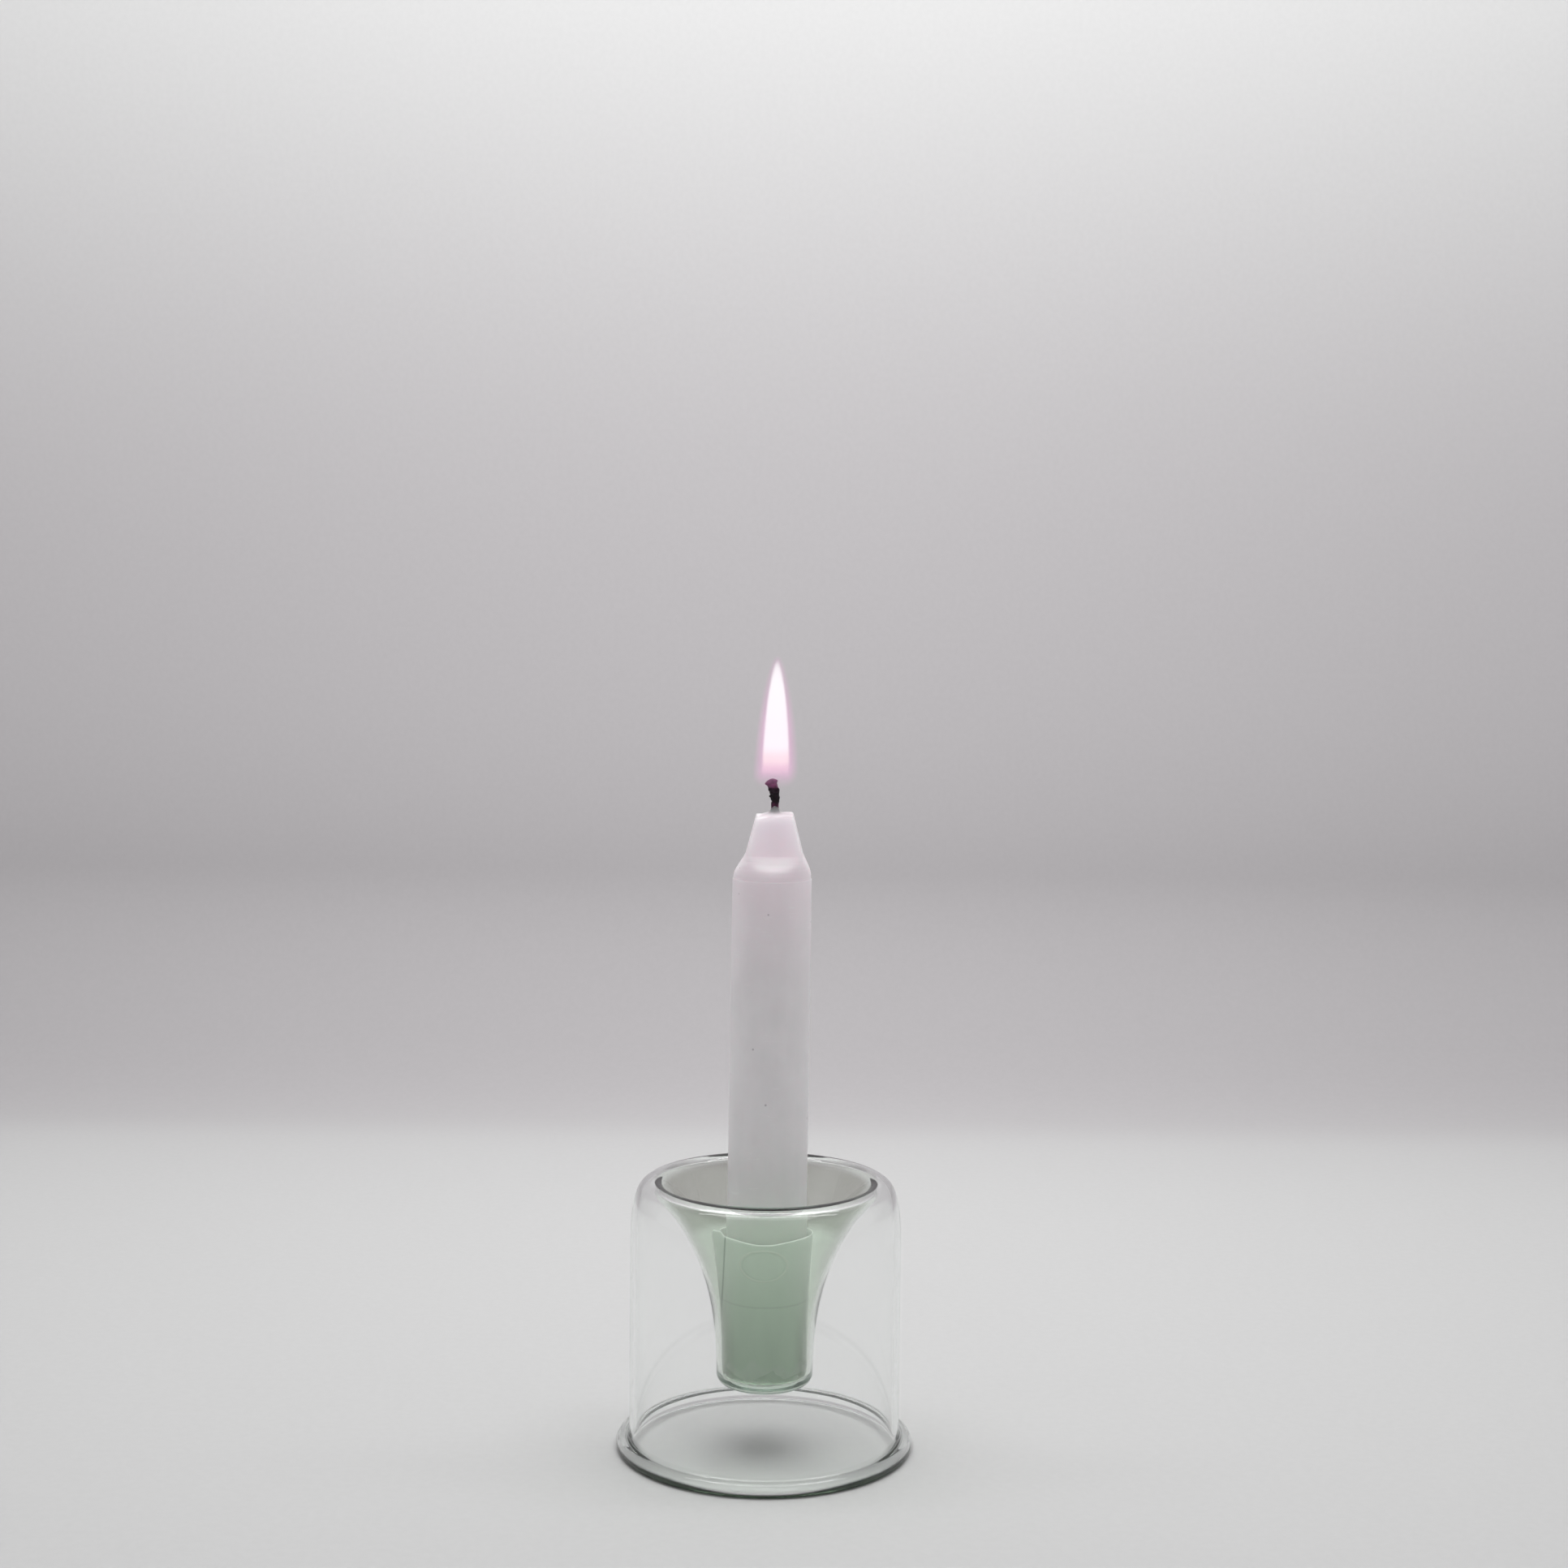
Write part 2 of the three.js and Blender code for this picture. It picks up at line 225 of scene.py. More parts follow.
def skin(name, rows, closed_around=True, closed_along=False, poles=(False, False), attributes=None):
    """A mesh over a grid of points, rows x columns x 3.

    Column j joins column j+1, and the last joins the first where the grid is closed around. Row i joins
    row i+1, and the last joins the first where it is closed along. A pole joins an end row to one point
    at its mean. The signed volume, the sum of a . (b x c) over the faces, turns the faces outwards.
    """
    count, around = rows.shape[:2]
    points = rows.reshape(-1, 3)
    i = np.arange(count if closed_along else count - 1)[:, None]
    j = np.arange(around if closed_around else around - 1)[None, :]
    up, over = (i + 1) % count, (j + 1) % around
    corners = (i * around + j, i * around + over, up * around + over, up * around + j)
    quads = np.stack(np.broadcast_arrays(*corners), -1).reshape(-1, 4)
    fans, extra = [], []
    for wanted, row, turn in ((poles[0], 0, True), (poles[1], count - 1, False)):
        if wanted:
            centre = len(points) + len(extra)
            extra.append(rows[row].mean(0))
            a = row * around + np.arange(around)
            b = row * around + (np.arange(around) + 1) % around
            c = np.full(around, centre)
            fans.append(np.stack([b, a, c] if turn else [a, b, c], -1))
    if extra:
        points = np.concatenate([points, np.array(extra)])
    triangles = np.concatenate(fans) if fans else np.zeros((0, 3), int)
    split = np.concatenate([quads[:, [0, 1, 2]], quads[:, [0, 2, 3]], triangles])
    a, b, c = (points[split[:, k]] for k in range(3))
    if closed_around and np.einsum("ij,ij->i", a, np.cross(b, c)).sum() < 0:
        quads, triangles = quads[:, ::-1], triangles[:, ::-1]
    mesh = bpy.data.meshes.new(name)
    mesh.vertices.add(len(points))
    mesh.vertices.foreach_set("co", points.astype(np.float32).ravel())
    corners = np.concatenate([quads.ravel(), triangles.ravel()]).astype(np.int32)
    sizes = np.concatenate([np.full(len(quads), 4), np.full(len(triangles), 3)])
    mesh.loops.add(len(corners))
    mesh.loops.foreach_set("vertex_index", corners)
    mesh.polygons.add(len(sizes))
    mesh.polygons.foreach_set("loop_start", (np.cumsum(sizes) - sizes).astype(np.int32))
    mesh.update(calc_edges=True)
    mesh.polygons.foreach_set("use_smooth", np.ones(len(sizes), bool))
    for key, values in (attributes or {}).items():
        flat = np.asarray(values, float).reshape(-1)
        flat = np.concatenate([flat, np.full(len(points) - len(flat), flat[-1])])
        layer = mesh.attributes.new(key, "FLOAT", "POINT")
        layer.data.foreach_set("value", flat.astype(np.float32))
    mesh.validate()
    return mesh


def turned(a, r, z, shift=0.0):
    """Points at radius r, angle a and height z: (r cos a + shift, r sin a, z)."""
    return np.stack(np.broadcast_arrays(r * np.cos(a) + shift, r * np.sin(a), z), -1)


def full_turn(steps):
    """Even angles once round."""
    return np.linspace(0.0, 2 * np.pi, steps, endpoint=False)[None, :]


def revolve(profile, steps):
    """Rows of points of a profile (r, z) turned about Z."""
    return turned(full_turn(steps), profile[:, 0, None], profile[:, 1, None])


def lean_points(points, settings):
    """Candle points turned about +Y by the lean, then raised from the candle's foot to its place."""
    c, s = math.cos(settings.lean), math.sin(settings.lean)
    x, y, z = points[..., 0], points[..., 1], points[..., 2] + CLEARANCE
    return np.stack([c * x + s * z, y, c * z - s * x + settings.foot_height - CLEARANCE], -1)


def placed(name, data):
    """A new object in the scene."""
    obj = bpy.data.objects.new(name, data)
    bpy.context.scene.collection.objects.link(obj)
    return obj


def show(name, mesh, material, body, slot, *nodes):
    """Puts a finished mesh in the scene as a piece of the object."""
    piece = placed(name, mesh)
    mesh.materials.append(material)
    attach(piece, body)
    if nodes:
        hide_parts(*nodes)
    return piece


# ---------- materials ----------

def shader_of(name, **sockets):
    """A material of one Principled shader. Returns it, its tree and the shader."""
    material = bpy.data.materials.new(name)
    material.use_nodes = True
    tree = material.node_tree
    tree.nodes.clear()
    output = tree.nodes.new("ShaderNodeOutputMaterial")
    output.location = (400, 0)
    shader = tree.nodes.new("ShaderNodeBsdfPrincipled")
    tree.links.new(shader.outputs["BSDF"], output.inputs["Surface"])
    for socket, value in sockets.items():
        shader.inputs[socket.replace("_", " ")].default_value = value
    return material, tree, shader


def add(tree, kind, inputs=None, **settings):
    """A node of one kind, with its settings, its input values and its input links."""
    node = tree.nodes.new("ShaderNode" + kind)
    node.location = (-180 * len(tree.nodes), 0)
    for key, value in settings.items():
        setattr(node, key, value)
    for key, value in (inputs or {}).items():
        if isinstance(value, bpy.types.NodeSocket):
            tree.links.new(value, node.inputs[key])
        else:
            node.inputs[key].default_value = value
    return node


def wire(tree, node, **values):
    """Links values to a node's input sockets."""
    for socket, value in values.items():
        tree.links.new(value, node.inputs[socket.replace("_", " ")])


def math_of(tree, operation, *values, clamp=False):
    """The result of one Math node."""
    return add(tree, "Math", dict(enumerate(values)), operation=operation, use_clamp=clamp).outputs[0]


def times(tree, first, second):
    """The product of two values."""
    return math_of(tree, "MULTIPLY", first, second)


def close_to(tree, value, middle, whole, none):
    """1 where a value is within whole of the middle, falling to 0 where it is none away."""
    away = math_of(tree, "ABSOLUTE", math_of(tree, "SUBTRACT", value, middle))
    return mapped(tree, away, whole, none, 1.0, 0.0)


def painted(tree, key):
    """The value of a point attribute."""
    return add(tree, "Attribute", None, attribute_name=key).outputs["Fac"]


def grey(tree, value):
    """A value as a colour."""
    return add(tree, "CombineColor", {0: value, 1: value, 2: value}).outputs[0]


def mapped(tree, value, from_low, from_high, to_low=0.0, to_high=1.0, kind="SMOOTHSTEP"):
    """A value carried from one span to another, clamped."""
    inputs = {
        "Value": value, "From Min": from_low, "From Max": from_high, "To Min": to_low, "To Max": to_high,
    }
    return add(tree, "MapRange", inputs, interpolation_type=kind).outputs["Result"]


def mixed(tree, factor, first, second, blend="MIX"):
    """Two colours mixed by a factor."""
    node = add(tree, "Mix", None, data_type="RGBA", blend_type=blend)
    for index, value in ((0, factor), (6, first), (7, second)):
        if isinstance(value, bpy.types.NodeSocket):
            tree.links.new(value, node.inputs[index])
        elif index == 0:
            node.inputs[index].default_value = value
        else:
            node.inputs[index].default_value = (*value, 1.0)
    return node.outputs[2]


def noise(tree, vector, scale, detail=3.0, roughness=0.5, distortion=0.0):
    """Smooth noise from 0 to 1."""
    inputs = {
        "Vector": vector, "Scale": scale, "Detail": detail, "Roughness": roughness, "Distortion": distortion,
    }
    return add(tree, "TexNoise", inputs).outputs["Fac"]


def cells(tree, vector, scale):
    """Random cells: how far it is to the nearest one's point, and that cell's own value."""
    node = add(tree, "TexVoronoi", {"Vector": vector, "Scale": scale}, feature="F1")
    own = add(tree, "SeparateColor", {0: node.outputs["Color"]}).outputs[0]
    return node.outputs["Distance"], own


def object_place(tree):
    """Object coordinates, whole and as x, y and z."""
    place = add(tree, "TexCoord").outputs["Object"]
    return place, *add(tree, "SeparateXYZ", {0: place}).outputs


def stretched(tree, vector, scale, rotation=(0.0, 0.0, 0.0)):
    """Coordinates turned and scaled along each axis."""
    return add(tree, "Mapping", {"Vector": vector, "Rotation": rotation, "Scale": scale}).outputs[0]


def bump(tree, height, strength, distance, normal=None):
    """A bumped normal from a height."""
    inputs = {"Height": height, "Strength": strength, "Distance": distance}
    if normal is not None:
        inputs["Normal"] = normal
    return add(tree, "Bump", inputs).outputs["Normal"]


def glass_material(settings):
    """Clear glass with a faintly wavy surface, tinted where its point attributes say.

    The tint attribute is the cup's green; the second attribute is painted shade on the cup's far side and
    sides, and the third a painted dark band of shade under the front of the foot.
    """
    material, tree, shader = shader_of(
        "blown_glass", Roughness=0.0, IOR=1.474, Transmission_Weight=1.0, Specular_IOR_Level=0.5,
    )
    place = object_place(tree)[0]
    tint, painted_far_shade, bead = (painted(tree, key) for key in ("tint", "painted_far_shade", "bead"))
    streak = noise(tree, stretched(tree, place, (1.0, 1.0, 0.35)), 90.0, 2.0)
    uneven = mapped(tree, streak, 0.2, 0.8, 0.94, 1.06)
    green, shaded = (math_of(tree, "MULTIPLY", value, uneven, clamp=True) for value in (tint, painted_far_shade))
    glass = mixed(tree, green, tuple(settings.clear_tint), tuple(settings.cup_tint))
    # Painted shade on the cup's far side and sides.
    glass = mixed(tree, shaded, glass, tuple(settings.painted_shade_tint))
    # Painted dark band of shade under the front of the foot.
    glass = mixed(tree, bead, glass, tuple(settings.painted_bead_shade_tint))
    wire(tree, shader, Base_Color=glass)
    wave = noise(tree, stretched(tree, place, (1.0, 1.0, 0.5)), 60.0, 1.0)
    wire(tree, shader, Normal=bump(tree, wave, settings.ripple, 0.4 * MM))
    output = next(n for n in tree.nodes if n.type == "OUTPUT_MATERIAL")
    depth = {"Color": (*settings.edge_tint, 1.0), "Density": settings.edge_depth}
    absorb = add(tree, "VolumeAbsorption", depth)
    tree.links.new(absorb.outputs[0], output.inputs["Volume"])
    return material


# Scratches in the wax: how they are turned, how they are drawn out, and the scale of their patches.
WAX_SCRATCHES = (
    ((0.0, 0.35, 0.0), (30.0, 30.0, 420.0), 110.0),
    ((0.0, -1.1, 0.4), (40.0, 40.0, 520.0), 70.0 + 40.0 * 40.0 / 30.0),
)


def wax_material(settings):
    """Cloudy wax: pale patches, fine scratches across and along, dark specks and a satin skin.

    It has painted flame light, paler and pinker towards the flame, and painted shade, greyer where it stands
    in the cup;
    it is darker on the top face.
    """
    material, tree, shader = shader_of(
        "candle_wax", Roughness=0.42, IOR=1.44, Subsurface_Weight=1.0, Subsurface_Scale=6.0 * MM,
        Subsurface_Radius=(1.0, 0.85, 0.9), Subsurface_Anisotropy=0.3, Specular_IOR_Level=0.5,
    )
    place, x, y, z = object_place(tree)
    cloud = noise(tree, place, 55.0, 4.0, 0.55)
    long_cloud = noise(tree, stretched(tree, place, (1.0, 1.0, 0.15)), 160.0, 3.0)
    cloudy = mapped(tree, math_of(tree, "ADD", cloud, times(tree, long_cloud, 0.5)), 0.55, 0.95)
    wax = mixed(tree, cloudy, tuple(settings.wax), tuple(settings.wax_pale))
    # Painted light of the flame: the wax paler and pinker towards it.
    painted_flame_light = math_of(tree, "POWER", mapped(tree, z, 120 * MM, 180 * MM, kind="LINEAR"), 1.6)
    wax = mixed(tree, painted_flame_light, wax, tuple(settings.wax_lit))
    # Painted shade: the wax greyer where it stands down in the cup.
    painted_cup_shade = mapped(tree, z, 60 * MM, 74.5 * MM, 1.0, 0.0)
    wax = mixed(tree, painted_cup_shade, wax, (0.70, 0.70, 0.69))
    top_face = mapped(tree, z, 175.8 * MM, 177.2 * MM, 0.0, 0.8)
    wax = mixed(tree, top_face, wax, (0.52, 0.475, 0.50))
    # Painted highlight on the front of the ledge.
    wax = mixed(tree, painted_ledge_highlight(tree, place, x, y, z), wax, (0.86, 0.86, 0.85))
    far, cell = cells(tree, place, 260.0)
    speck = times(tree, mapped(tree, far, 0.05, 0.11, 1.0, 0.0), math_of(tree, "GREATER_THAN", cell, 0.86))
    wax = mixed(tree, times(tree, speck, 0.55), wax, (0.30, 0.27, 0.30))
    marks = []
    for turn, scale, patches in WAX_SCRATCHES:
        line = noise(tree, stretched(tree, place, scale, turn), 1.0, 2.0, 0.6, 0.4)
        patch = mapped(tree, noise(tree, place, patches, 1.0), 0.60, 0.68)
        marks.append(times(tree, close_to(tree, line, 0.5, 0.0, 0.012), patch))
    scratch = math_of(tree, "MAXIMUM", *marks)
    wax = mixed(tree, times(tree, scratch, 0.35), wax, (0.92, 0.92, 0.93))
    wire(tree, shader, Base_Color=wax)
    satin = mapped(tree, cloud, 0.3, 0.7, 0.36, 0.50)
    rough = math_of(tree, "ADD", satin, times(tree, scratch, 0.2))
    wire(tree, shader, Roughness=rough)
    grain = bump(tree, noise(tree, place, 700.0, 3.0), 0.10, 0.08 * MM)
    dents = bump(tree, noise(tree, place, 150.0, 2.0), 0.25, 0.12 * MM, grain)
    cut = bump(tree, math_of(tree, "ADD", scratch, speck), -0.3, 0.06 * MM, dents)
    wire(tree, shader, Normal=cut)
    return material


def painted_ledge_highlight(tree, place, x, y, z):
    """Painted highlight: the whitish patch on the front of the ledge, ragged at its upper edge."""
    ragged = math_of(tree, "MULTIPLY_ADD", noise(tree, place, 260.0, 3.0), 2.4 * MM, z)
    above = mapped(tree, ragged, 163.6 * MM, 164.2 * MM)
    below = mapped(tree, ragged, 166.0 * MM, 167.2 * MM, 1.0, 0.0)
    middle = close_to(tree, x, 1.0 * MM, 3.0 * MM, 6.0 * MM)
    front = math_of(tree, "LESS_THAN", y, 0.0)
    return times(tree, times(tree, times(tree, above, below), middle), times(tree, front, 0.28))


def wick_material(settings, foot, top):
    """Braided cotton: charred black between a dark red foot and a purple tip."""
    material, tree, shader = shader_of("charred_cotton", Roughness=0.85, Specular_IOR_Level=0.3)
    place, _, _, z = object_place(tree)
    ragged = math_of(tree, "MULTIPLY_ADD", noise(tree, place, 900.0, 3.0), 2.0 * MM, z)
    tip = mapped(tree, ragged, top - 2.0 * MM, top - 0.6 * MM)
    root = mapped(tree, ragged, foot + 2.6 * MM, foot + 4.4 * MM, 1.0, 0.0)
    braid = noise(tree, stretched(tree, place, (1.0, 1.0, 0.5), (0.5, 0.3, 0.0)), 1400.0, 4.0, 0.6)
    char = mixed(tree, mapped(tree, braid, 0.45, 0.75), tuple(settings.char), (0.028, 0.012, 0.022))
    ember = mixed(tree, mapped(tree, braid, 0.3, 0.7), (0.045, 0.008, 0.030), tuple(settings.ember))
    worn = mixed(tree, math_of(tree, "MAXIMUM", tip, root), char, ember)
    rough = mapped(tree, braid, 0.2, 0.8, 0.6, 0.95)
    wire(tree, shader, Base_Color=worn, Roughness=rough, Normal=bump(tree, braid, 0.8, 0.3 * MM))
    return material


def film_material(settings):
    """Milky film: faint creases and streaks, a torn foot, one oval ring pressed into its front with painted
    shade inside it, a line across it, painted shadow in the gap by its loose end, and painted highlight along
    its edges."""
    material, tree, shader = shader_of(
        "milky_film", Roughness=0.30, IOR=1.45, Subsurface_Weight=0.6, Subsurface_Scale=1.5 * MM,
        Subsurface_Radius=(1.0, 1.0, 1.0), Specular_IOR_Level=0.5,
    )
    place, x, y, z = object_place(tree)
    ring_x, ring_z, half_wide, half_high = -0.5 * MM, 55.0 * MM, 6.35 * MM, 4.6 * MM
    dx = math_of(tree, "DIVIDE", math_of(tree, "SUBTRACT", x, ring_x), half_wide)
    dz = math_of(tree, "DIVIDE", math_of(tree, "SUBTRACT", z, ring_z), half_high)
    far = math_of(tree, "SQRT", math_of(tree, "ADD", times(tree, dx, dx), times(tree, dz, dz)))
    front = math_of(tree, "LESS_THAN", y, 0.0)
    ring = times(tree, close_to(tree, far, 1.0, 0.015, 0.075), front)
    # Painted shade just inside the pressed ring.
    painted_lee_shade = times(tree, close_to(tree, far, 0.90, 0.02, 0.08), front)
    line = close_to(tree, z, 43.0 * MM, 0.1 * MM, 0.4 * MM)
    # Painted shadow in the gap beside the film's loose end.
    drift = math_of(tree, "MULTIPLY_ADD", math_of(tree, "SUBTRACT", z, 20 * MM), -0.045, x)
    painted_gap_shadow = close_to(tree, drift, -12.75 * MM, 0.08 * MM, 0.32 * MM)
    painted_gap_shadow = times(tree, times(tree, painted_gap_shadow, front), mapped(tree, z, 28 * MM, 36 * MM))
    tilted = stretched(tree, place, (1.0, 1.0, 1.8), (0.4, 0.5, 0.0))
    pale_shard = mapped(tree, cells(tree, tilted, 240.0)[1], 0.25, 0.55)
    facet = mixed(tree, pale_shard, (0.72, 0.78, 0.72), (1.0, 1.0, 1.0))
    wisp = noise(tree, stretched(tree, place, (1.0, 1.0, 0.25), (0.0, 0.5, 0.0)), 120.0, 4.0, 0.6, 0.6)
    # The plain tone carries the painted green cast of the cup's glass.
    plain = tuple(settings.tone)
    tone = mixed(tree, mapped(tree, wisp, 0.35, 0.7), plain, tuple(min(1, 1.06 * c) for c in plain))
    for where, strength, mark in (
        (ring, 0.75, (1.0, 1.0, 0.95)), (painted_lee_shade, 0.25, (0.66, 0.72, 0.64)), (line, 0.26, (0.55, 0.58, 0.55)),
        (painted_gap_shadow, 0.7, (0.10, 0.16, 0.11)), (painted(tree, "torn"), 0.9, facet),
        # Painted highlight along the top edge and the two ends.
        (painted(tree, "painted_rim_light"), 0.8, (1.0, 1.0, 1.0)),
    ):
        tone = mixed(tree, times(tree, where, strength), tone, mark)
    # Painted shade: the film darker towards the bottom of the cup.
    shade = mapped(tree, z, 22 * MM, 62 * MM, 0.92, 1.0, kind="LINEAR")
    tone = mixed(tree, 1.0, tone, grey(tree, shade), "MULTIPLY")
    wire(tree, shader, Base_Color=tone)
    crease = noise(tree, stretched(tree, place, (1.0, 1.0, 0.6), (0.3, 0.2, 0.0)), 200.0, 3.0, 0.5, 1.0)
    worked = bump(tree, crease, 0.25, 0.25 * MM, bump(tree, ring, 0.4, 0.1 * MM))
    wire(tree, shader, Normal=worked)
    return material


def fire_material(name, foot, tones, strength):
    """Light without a surface, through the tones up the flame, as solid as the solid attribute says."""
    material, tree, shader = shader_of(
        name, Roughness=1.0, Specular_IOR_Level=0.0, Base_Color=(0.0, 0.0, 0.0, 1.0),
        Emission_Strength=strength,
    )
    z = object_place(tree)[3]
    low, high = tones[0][0], tones[-1][0]
    ramp = add(tree, "ValToRGB", {"Fac": mapped(tree, z, foot + low, foot + high, kind="LINEAR")})
    fill_ramp(ramp.color_ramp, [((where - low) / (high - low), tone) for where, tone in tones], "EASE")
    wire(tree, shader, Emission_Color=ramp.outputs["Color"])
    wire(tree, shader, Alpha=painted(tree, "solid"))
    return material


def fill_ramp(ramp, stops, interpolation):
    """Sets a colour ramp to (position, colour) stops."""
    ramp.interpolation = interpolation
    ramp.elements[0].position, ramp.elements[1].position = 0.0, 1.0
    for where, _ in stops[1:-1]:
        ramp.elements.new(where)
    for element, (_, tone) in zip(ramp.elements, stops):
        element.color = (*tone, 1.0)


def paper_material(settings, run):
    """Pale paper with painted light and shade, its tone set by how far along the sweep it is and how far out
    to the sides.
    """
    material, tree, shader = shader_of("backdrop_paper", Roughness=0.9, Specular_IOR_Level=0.15)
    place, x, _, _ = object_place(tree)
    first, last = run[0][0], run[-1][0]
    ramp = add(tree, "ValToRGB", {"Fac": mapped(tree, painted(tree, "along"), first, last, kind="LINEAR")})
    stops = [((where - first) / (last - first), tone) for where, tone in run]
    fill_ramp(ramp.color_ramp, stops, "B_SPLINE")
    # Painted shade: the paper darker out towards the sides.
    side = mapped(tree, math_of(tree, "ABSOLUTE", x), 0.0, 0.5, 1.0, 0.90)
    fibre = mapped(tree, noise(tree, place, 400.0, 4.0), 0.3, 0.7, 0.99, 1.01)
    tone = mixed(tree, 1.0, tuple(settings.paper), ramp.outputs["Color"], "MULTIPLY")
    tone = mixed(tree, 1.0, tone, grey(tree, times(tree, side, fibre)), "MULTIPLY")
    wire(tree, shader, Base_Color=tone)
    return material


# ---------- stage ----------

PLAIN, ROSY = (1.0, 1.0, 1.0), (1.0, 0.965, 0.99)
# Painted light and shade on the paper along the sweep, with a rosy cast over the rise and lower wall: metres
# from the object's axis, tone, cast.
PAPER_LIGHT_RUN = (
    (-2.5, 0.64, PLAIN), (-0.2, 0.74, PLAIN), (0.0, 0.76, PLAIN), (0.2, 0.77, PLAIN), (0.36, 0.76, PLAIN),
    (0.42, 0.62, ROSY), (0.48, 0.57, ROSY), (0.56, 0.76, ROSY), (0.64, 0.82, ROSY), (0.78, 0.83, ROSY),
    (0.93, 0.98, PLAIN), (1.1, 1.0, PLAIN), (2.0, 1.0, PLAIN),
)
FLOOR_FRONT = -2.5  # front edge of the floor
CAMERA_AT = (0.0, -0.66107, 0.24194)
CAMERA_LENS = 55.9006  # mm, on a sensor 36 mm wide
CAMERA_DOWN, CAMERA_ROLL, CAMERA_ASIDE = 0.0859, 0.0103, 0.0057  # radians
# Area lights: name, width and depth, place, tilt in degrees.
SOFTBOXES = (
    ("softbox", (1.3, 0.9), (0.05, 0.0, 1.35), 0.0),
    ("wall_strip", (1.4, 0.25), (0.05, 0.12, 1.05), 48.0),
)


class CANDLESTICK_OT_stage(bpy.types.Operator):
    """Sets the pale floor and backdrop, the softboxes, the room's light and the camera"""
    bl_idname = "candlestick.stage"
    bl_label = "Stage, Light and Camera"

    def execute(self, context):
        scene, s = context.scene, context.scene.candlestick_stage
        backdrop(s)
        scene.camera = camera()
        softboxes(s)
        room(scene, s)
        quality(scene)
        return {"FINISHED"}


def backdrop(s):
    """Floor, rise and wall: a path (y, z) of a line, a quarter circle and a line, carried along X."""
    bend = s.sweep_radius
    path = np.concatenate([
        np.stack([np.linspace(FLOOR_FRONT, s.sweep_start - 0.01, 60), np.zeros(60)], -1),
        arc((s.sweep_start, bend), bend, -90, 0, 40),
        np.stack([np.full(40, s.sweep_start + bend), np.linspace(bend + 0.01, s.wall_height, 40)], -1),
    ])
    gaps = np.linalg.norm(np.diff(path, axis=0), axis=1)
    along = np.concatenate([[0.0], np.cumsum(gaps)]) + path[0, 0]
    x = np.linspace(-s.half_width, s.half_width, 41)
    rows = np.stack(np.broadcast_arrays(x[None, :], path[:, 0, None], path[:, 1, None]), -1)
    mesh = skin("backdrop", rows, closed_around=False, attributes={"along": np.repeat(along, len(x))})
    run = [(where, tuple(tone * c for c in cast)) for where, tone, cast in PAPER_LIGHT_RUN]
    mesh.materials.append(paper_material(s, run))
    placed("backdrop", mesh)


def camera():
    """The camera: looking along +Y, a little down, turned a little about its own axis."""
    data = bpy.data.cameras.new("camera")
    data.sensor_width, data.lens = 36.0, CAMERA_LENS
    data.clip_start, data.clip_end = 0.01, 20.0
    down, roll, aside = CAMERA_DOWN, CAMERA_ROLL, CAMERA_ASIDE
    look = Vector((math.sin(aside) * math.cos(down), math.cos(aside) * math.cos(down), -math.sin(down)))
    level = Vector((math.cos(aside), -math.sin(aside), 0.0))
    upright = level.cross(look)
    right = level * math.cos(roll) + upright * math.sin(roll)
    up = upright * math.cos(roll) - level * math.sin(roll)
    obj = placed("camera", data)
    turn = Matrix((right, up, -look)).transposed().to_4x4()
    obj.matrix_world = Matrix.Translation(CAMERA_AT) @ turn
    return obj


def softboxes(s):
    """One large soft rectangle overhead, facing down, and a strip that faces the backdrop."""
    for (name, size, place, tilt), power in zip(SOFTBOXES, (s.softbox, s.wall_light)):
        data = bpy.data.lights.new(name, "AREA")
        data.shape, data.size, data.size_y, data.energy = "RECTANGLE", *size, power
        obj = placed(name, data)
        obj.location, obj.rotation_euler = place, (math.radians(tilt), 0.0, 0.0)


def room(scene, s):
    """The pale room: even light from all round, a little more from the camera's side."""
    world = bpy.data.worlds.new("pale_room")
    world.use_nodes = True
    tree = world.node_tree
    background = next(n for n in tree.nodes if n.type == "BACKGROUND")
    way = add(tree, "SeparateXYZ", {0: add(tree, "TexCoord").outputs["Generated"]})
    steep = math_of(tree, "ABSOLUTE", way.outputs[2])
    ahead = math_of(tree, "SUBTRACT", times(tree, way.outputs[1], -1.0), times(tree, steep, 0.35))
    front = mapped(tree, ahead, 0.35, 0.80)
    strength = mapped(tree, front, 0.0, 1.0, s.room, s.room_front, kind="LINEAR")
    tree.links.new(strength, background.inputs["Strength"])
    background.inputs["Color"].default_value = (1.0, 1.0, 1.0, 1.0)
    scene.world = world


def quality(scene):
    """Plain colour management, and enough bounces for light to get through the glass walls."""
    scene.view_settings.view_transform = "Standard"
    scene.view_settings.look = "None"
    cycles = scene.cycles
    cycles.use_denoising = True
    cycles.max_bounces, cycles.transmission_bounces, cycles.transparent_max_bounces = 32, 32, 48
    cycles.glossy_bounces, cycles.diffuse_bounces, cycles.volume_bounces = 12, 5, 0
    cycles.caustics_refractive = cycles.caustics_reflective = True
    cycles.blur_glossy = 0.2


# ---------- glass ----------

def straight(radius, start, end):
    """An upright line at one radius, with its points closer together at its ends."""
    step = math.copysign(10 * MM, end - start)
    return bezier((radius, start), (radius, start + step), (radius, end - step), (radius, end), 16)[1:]


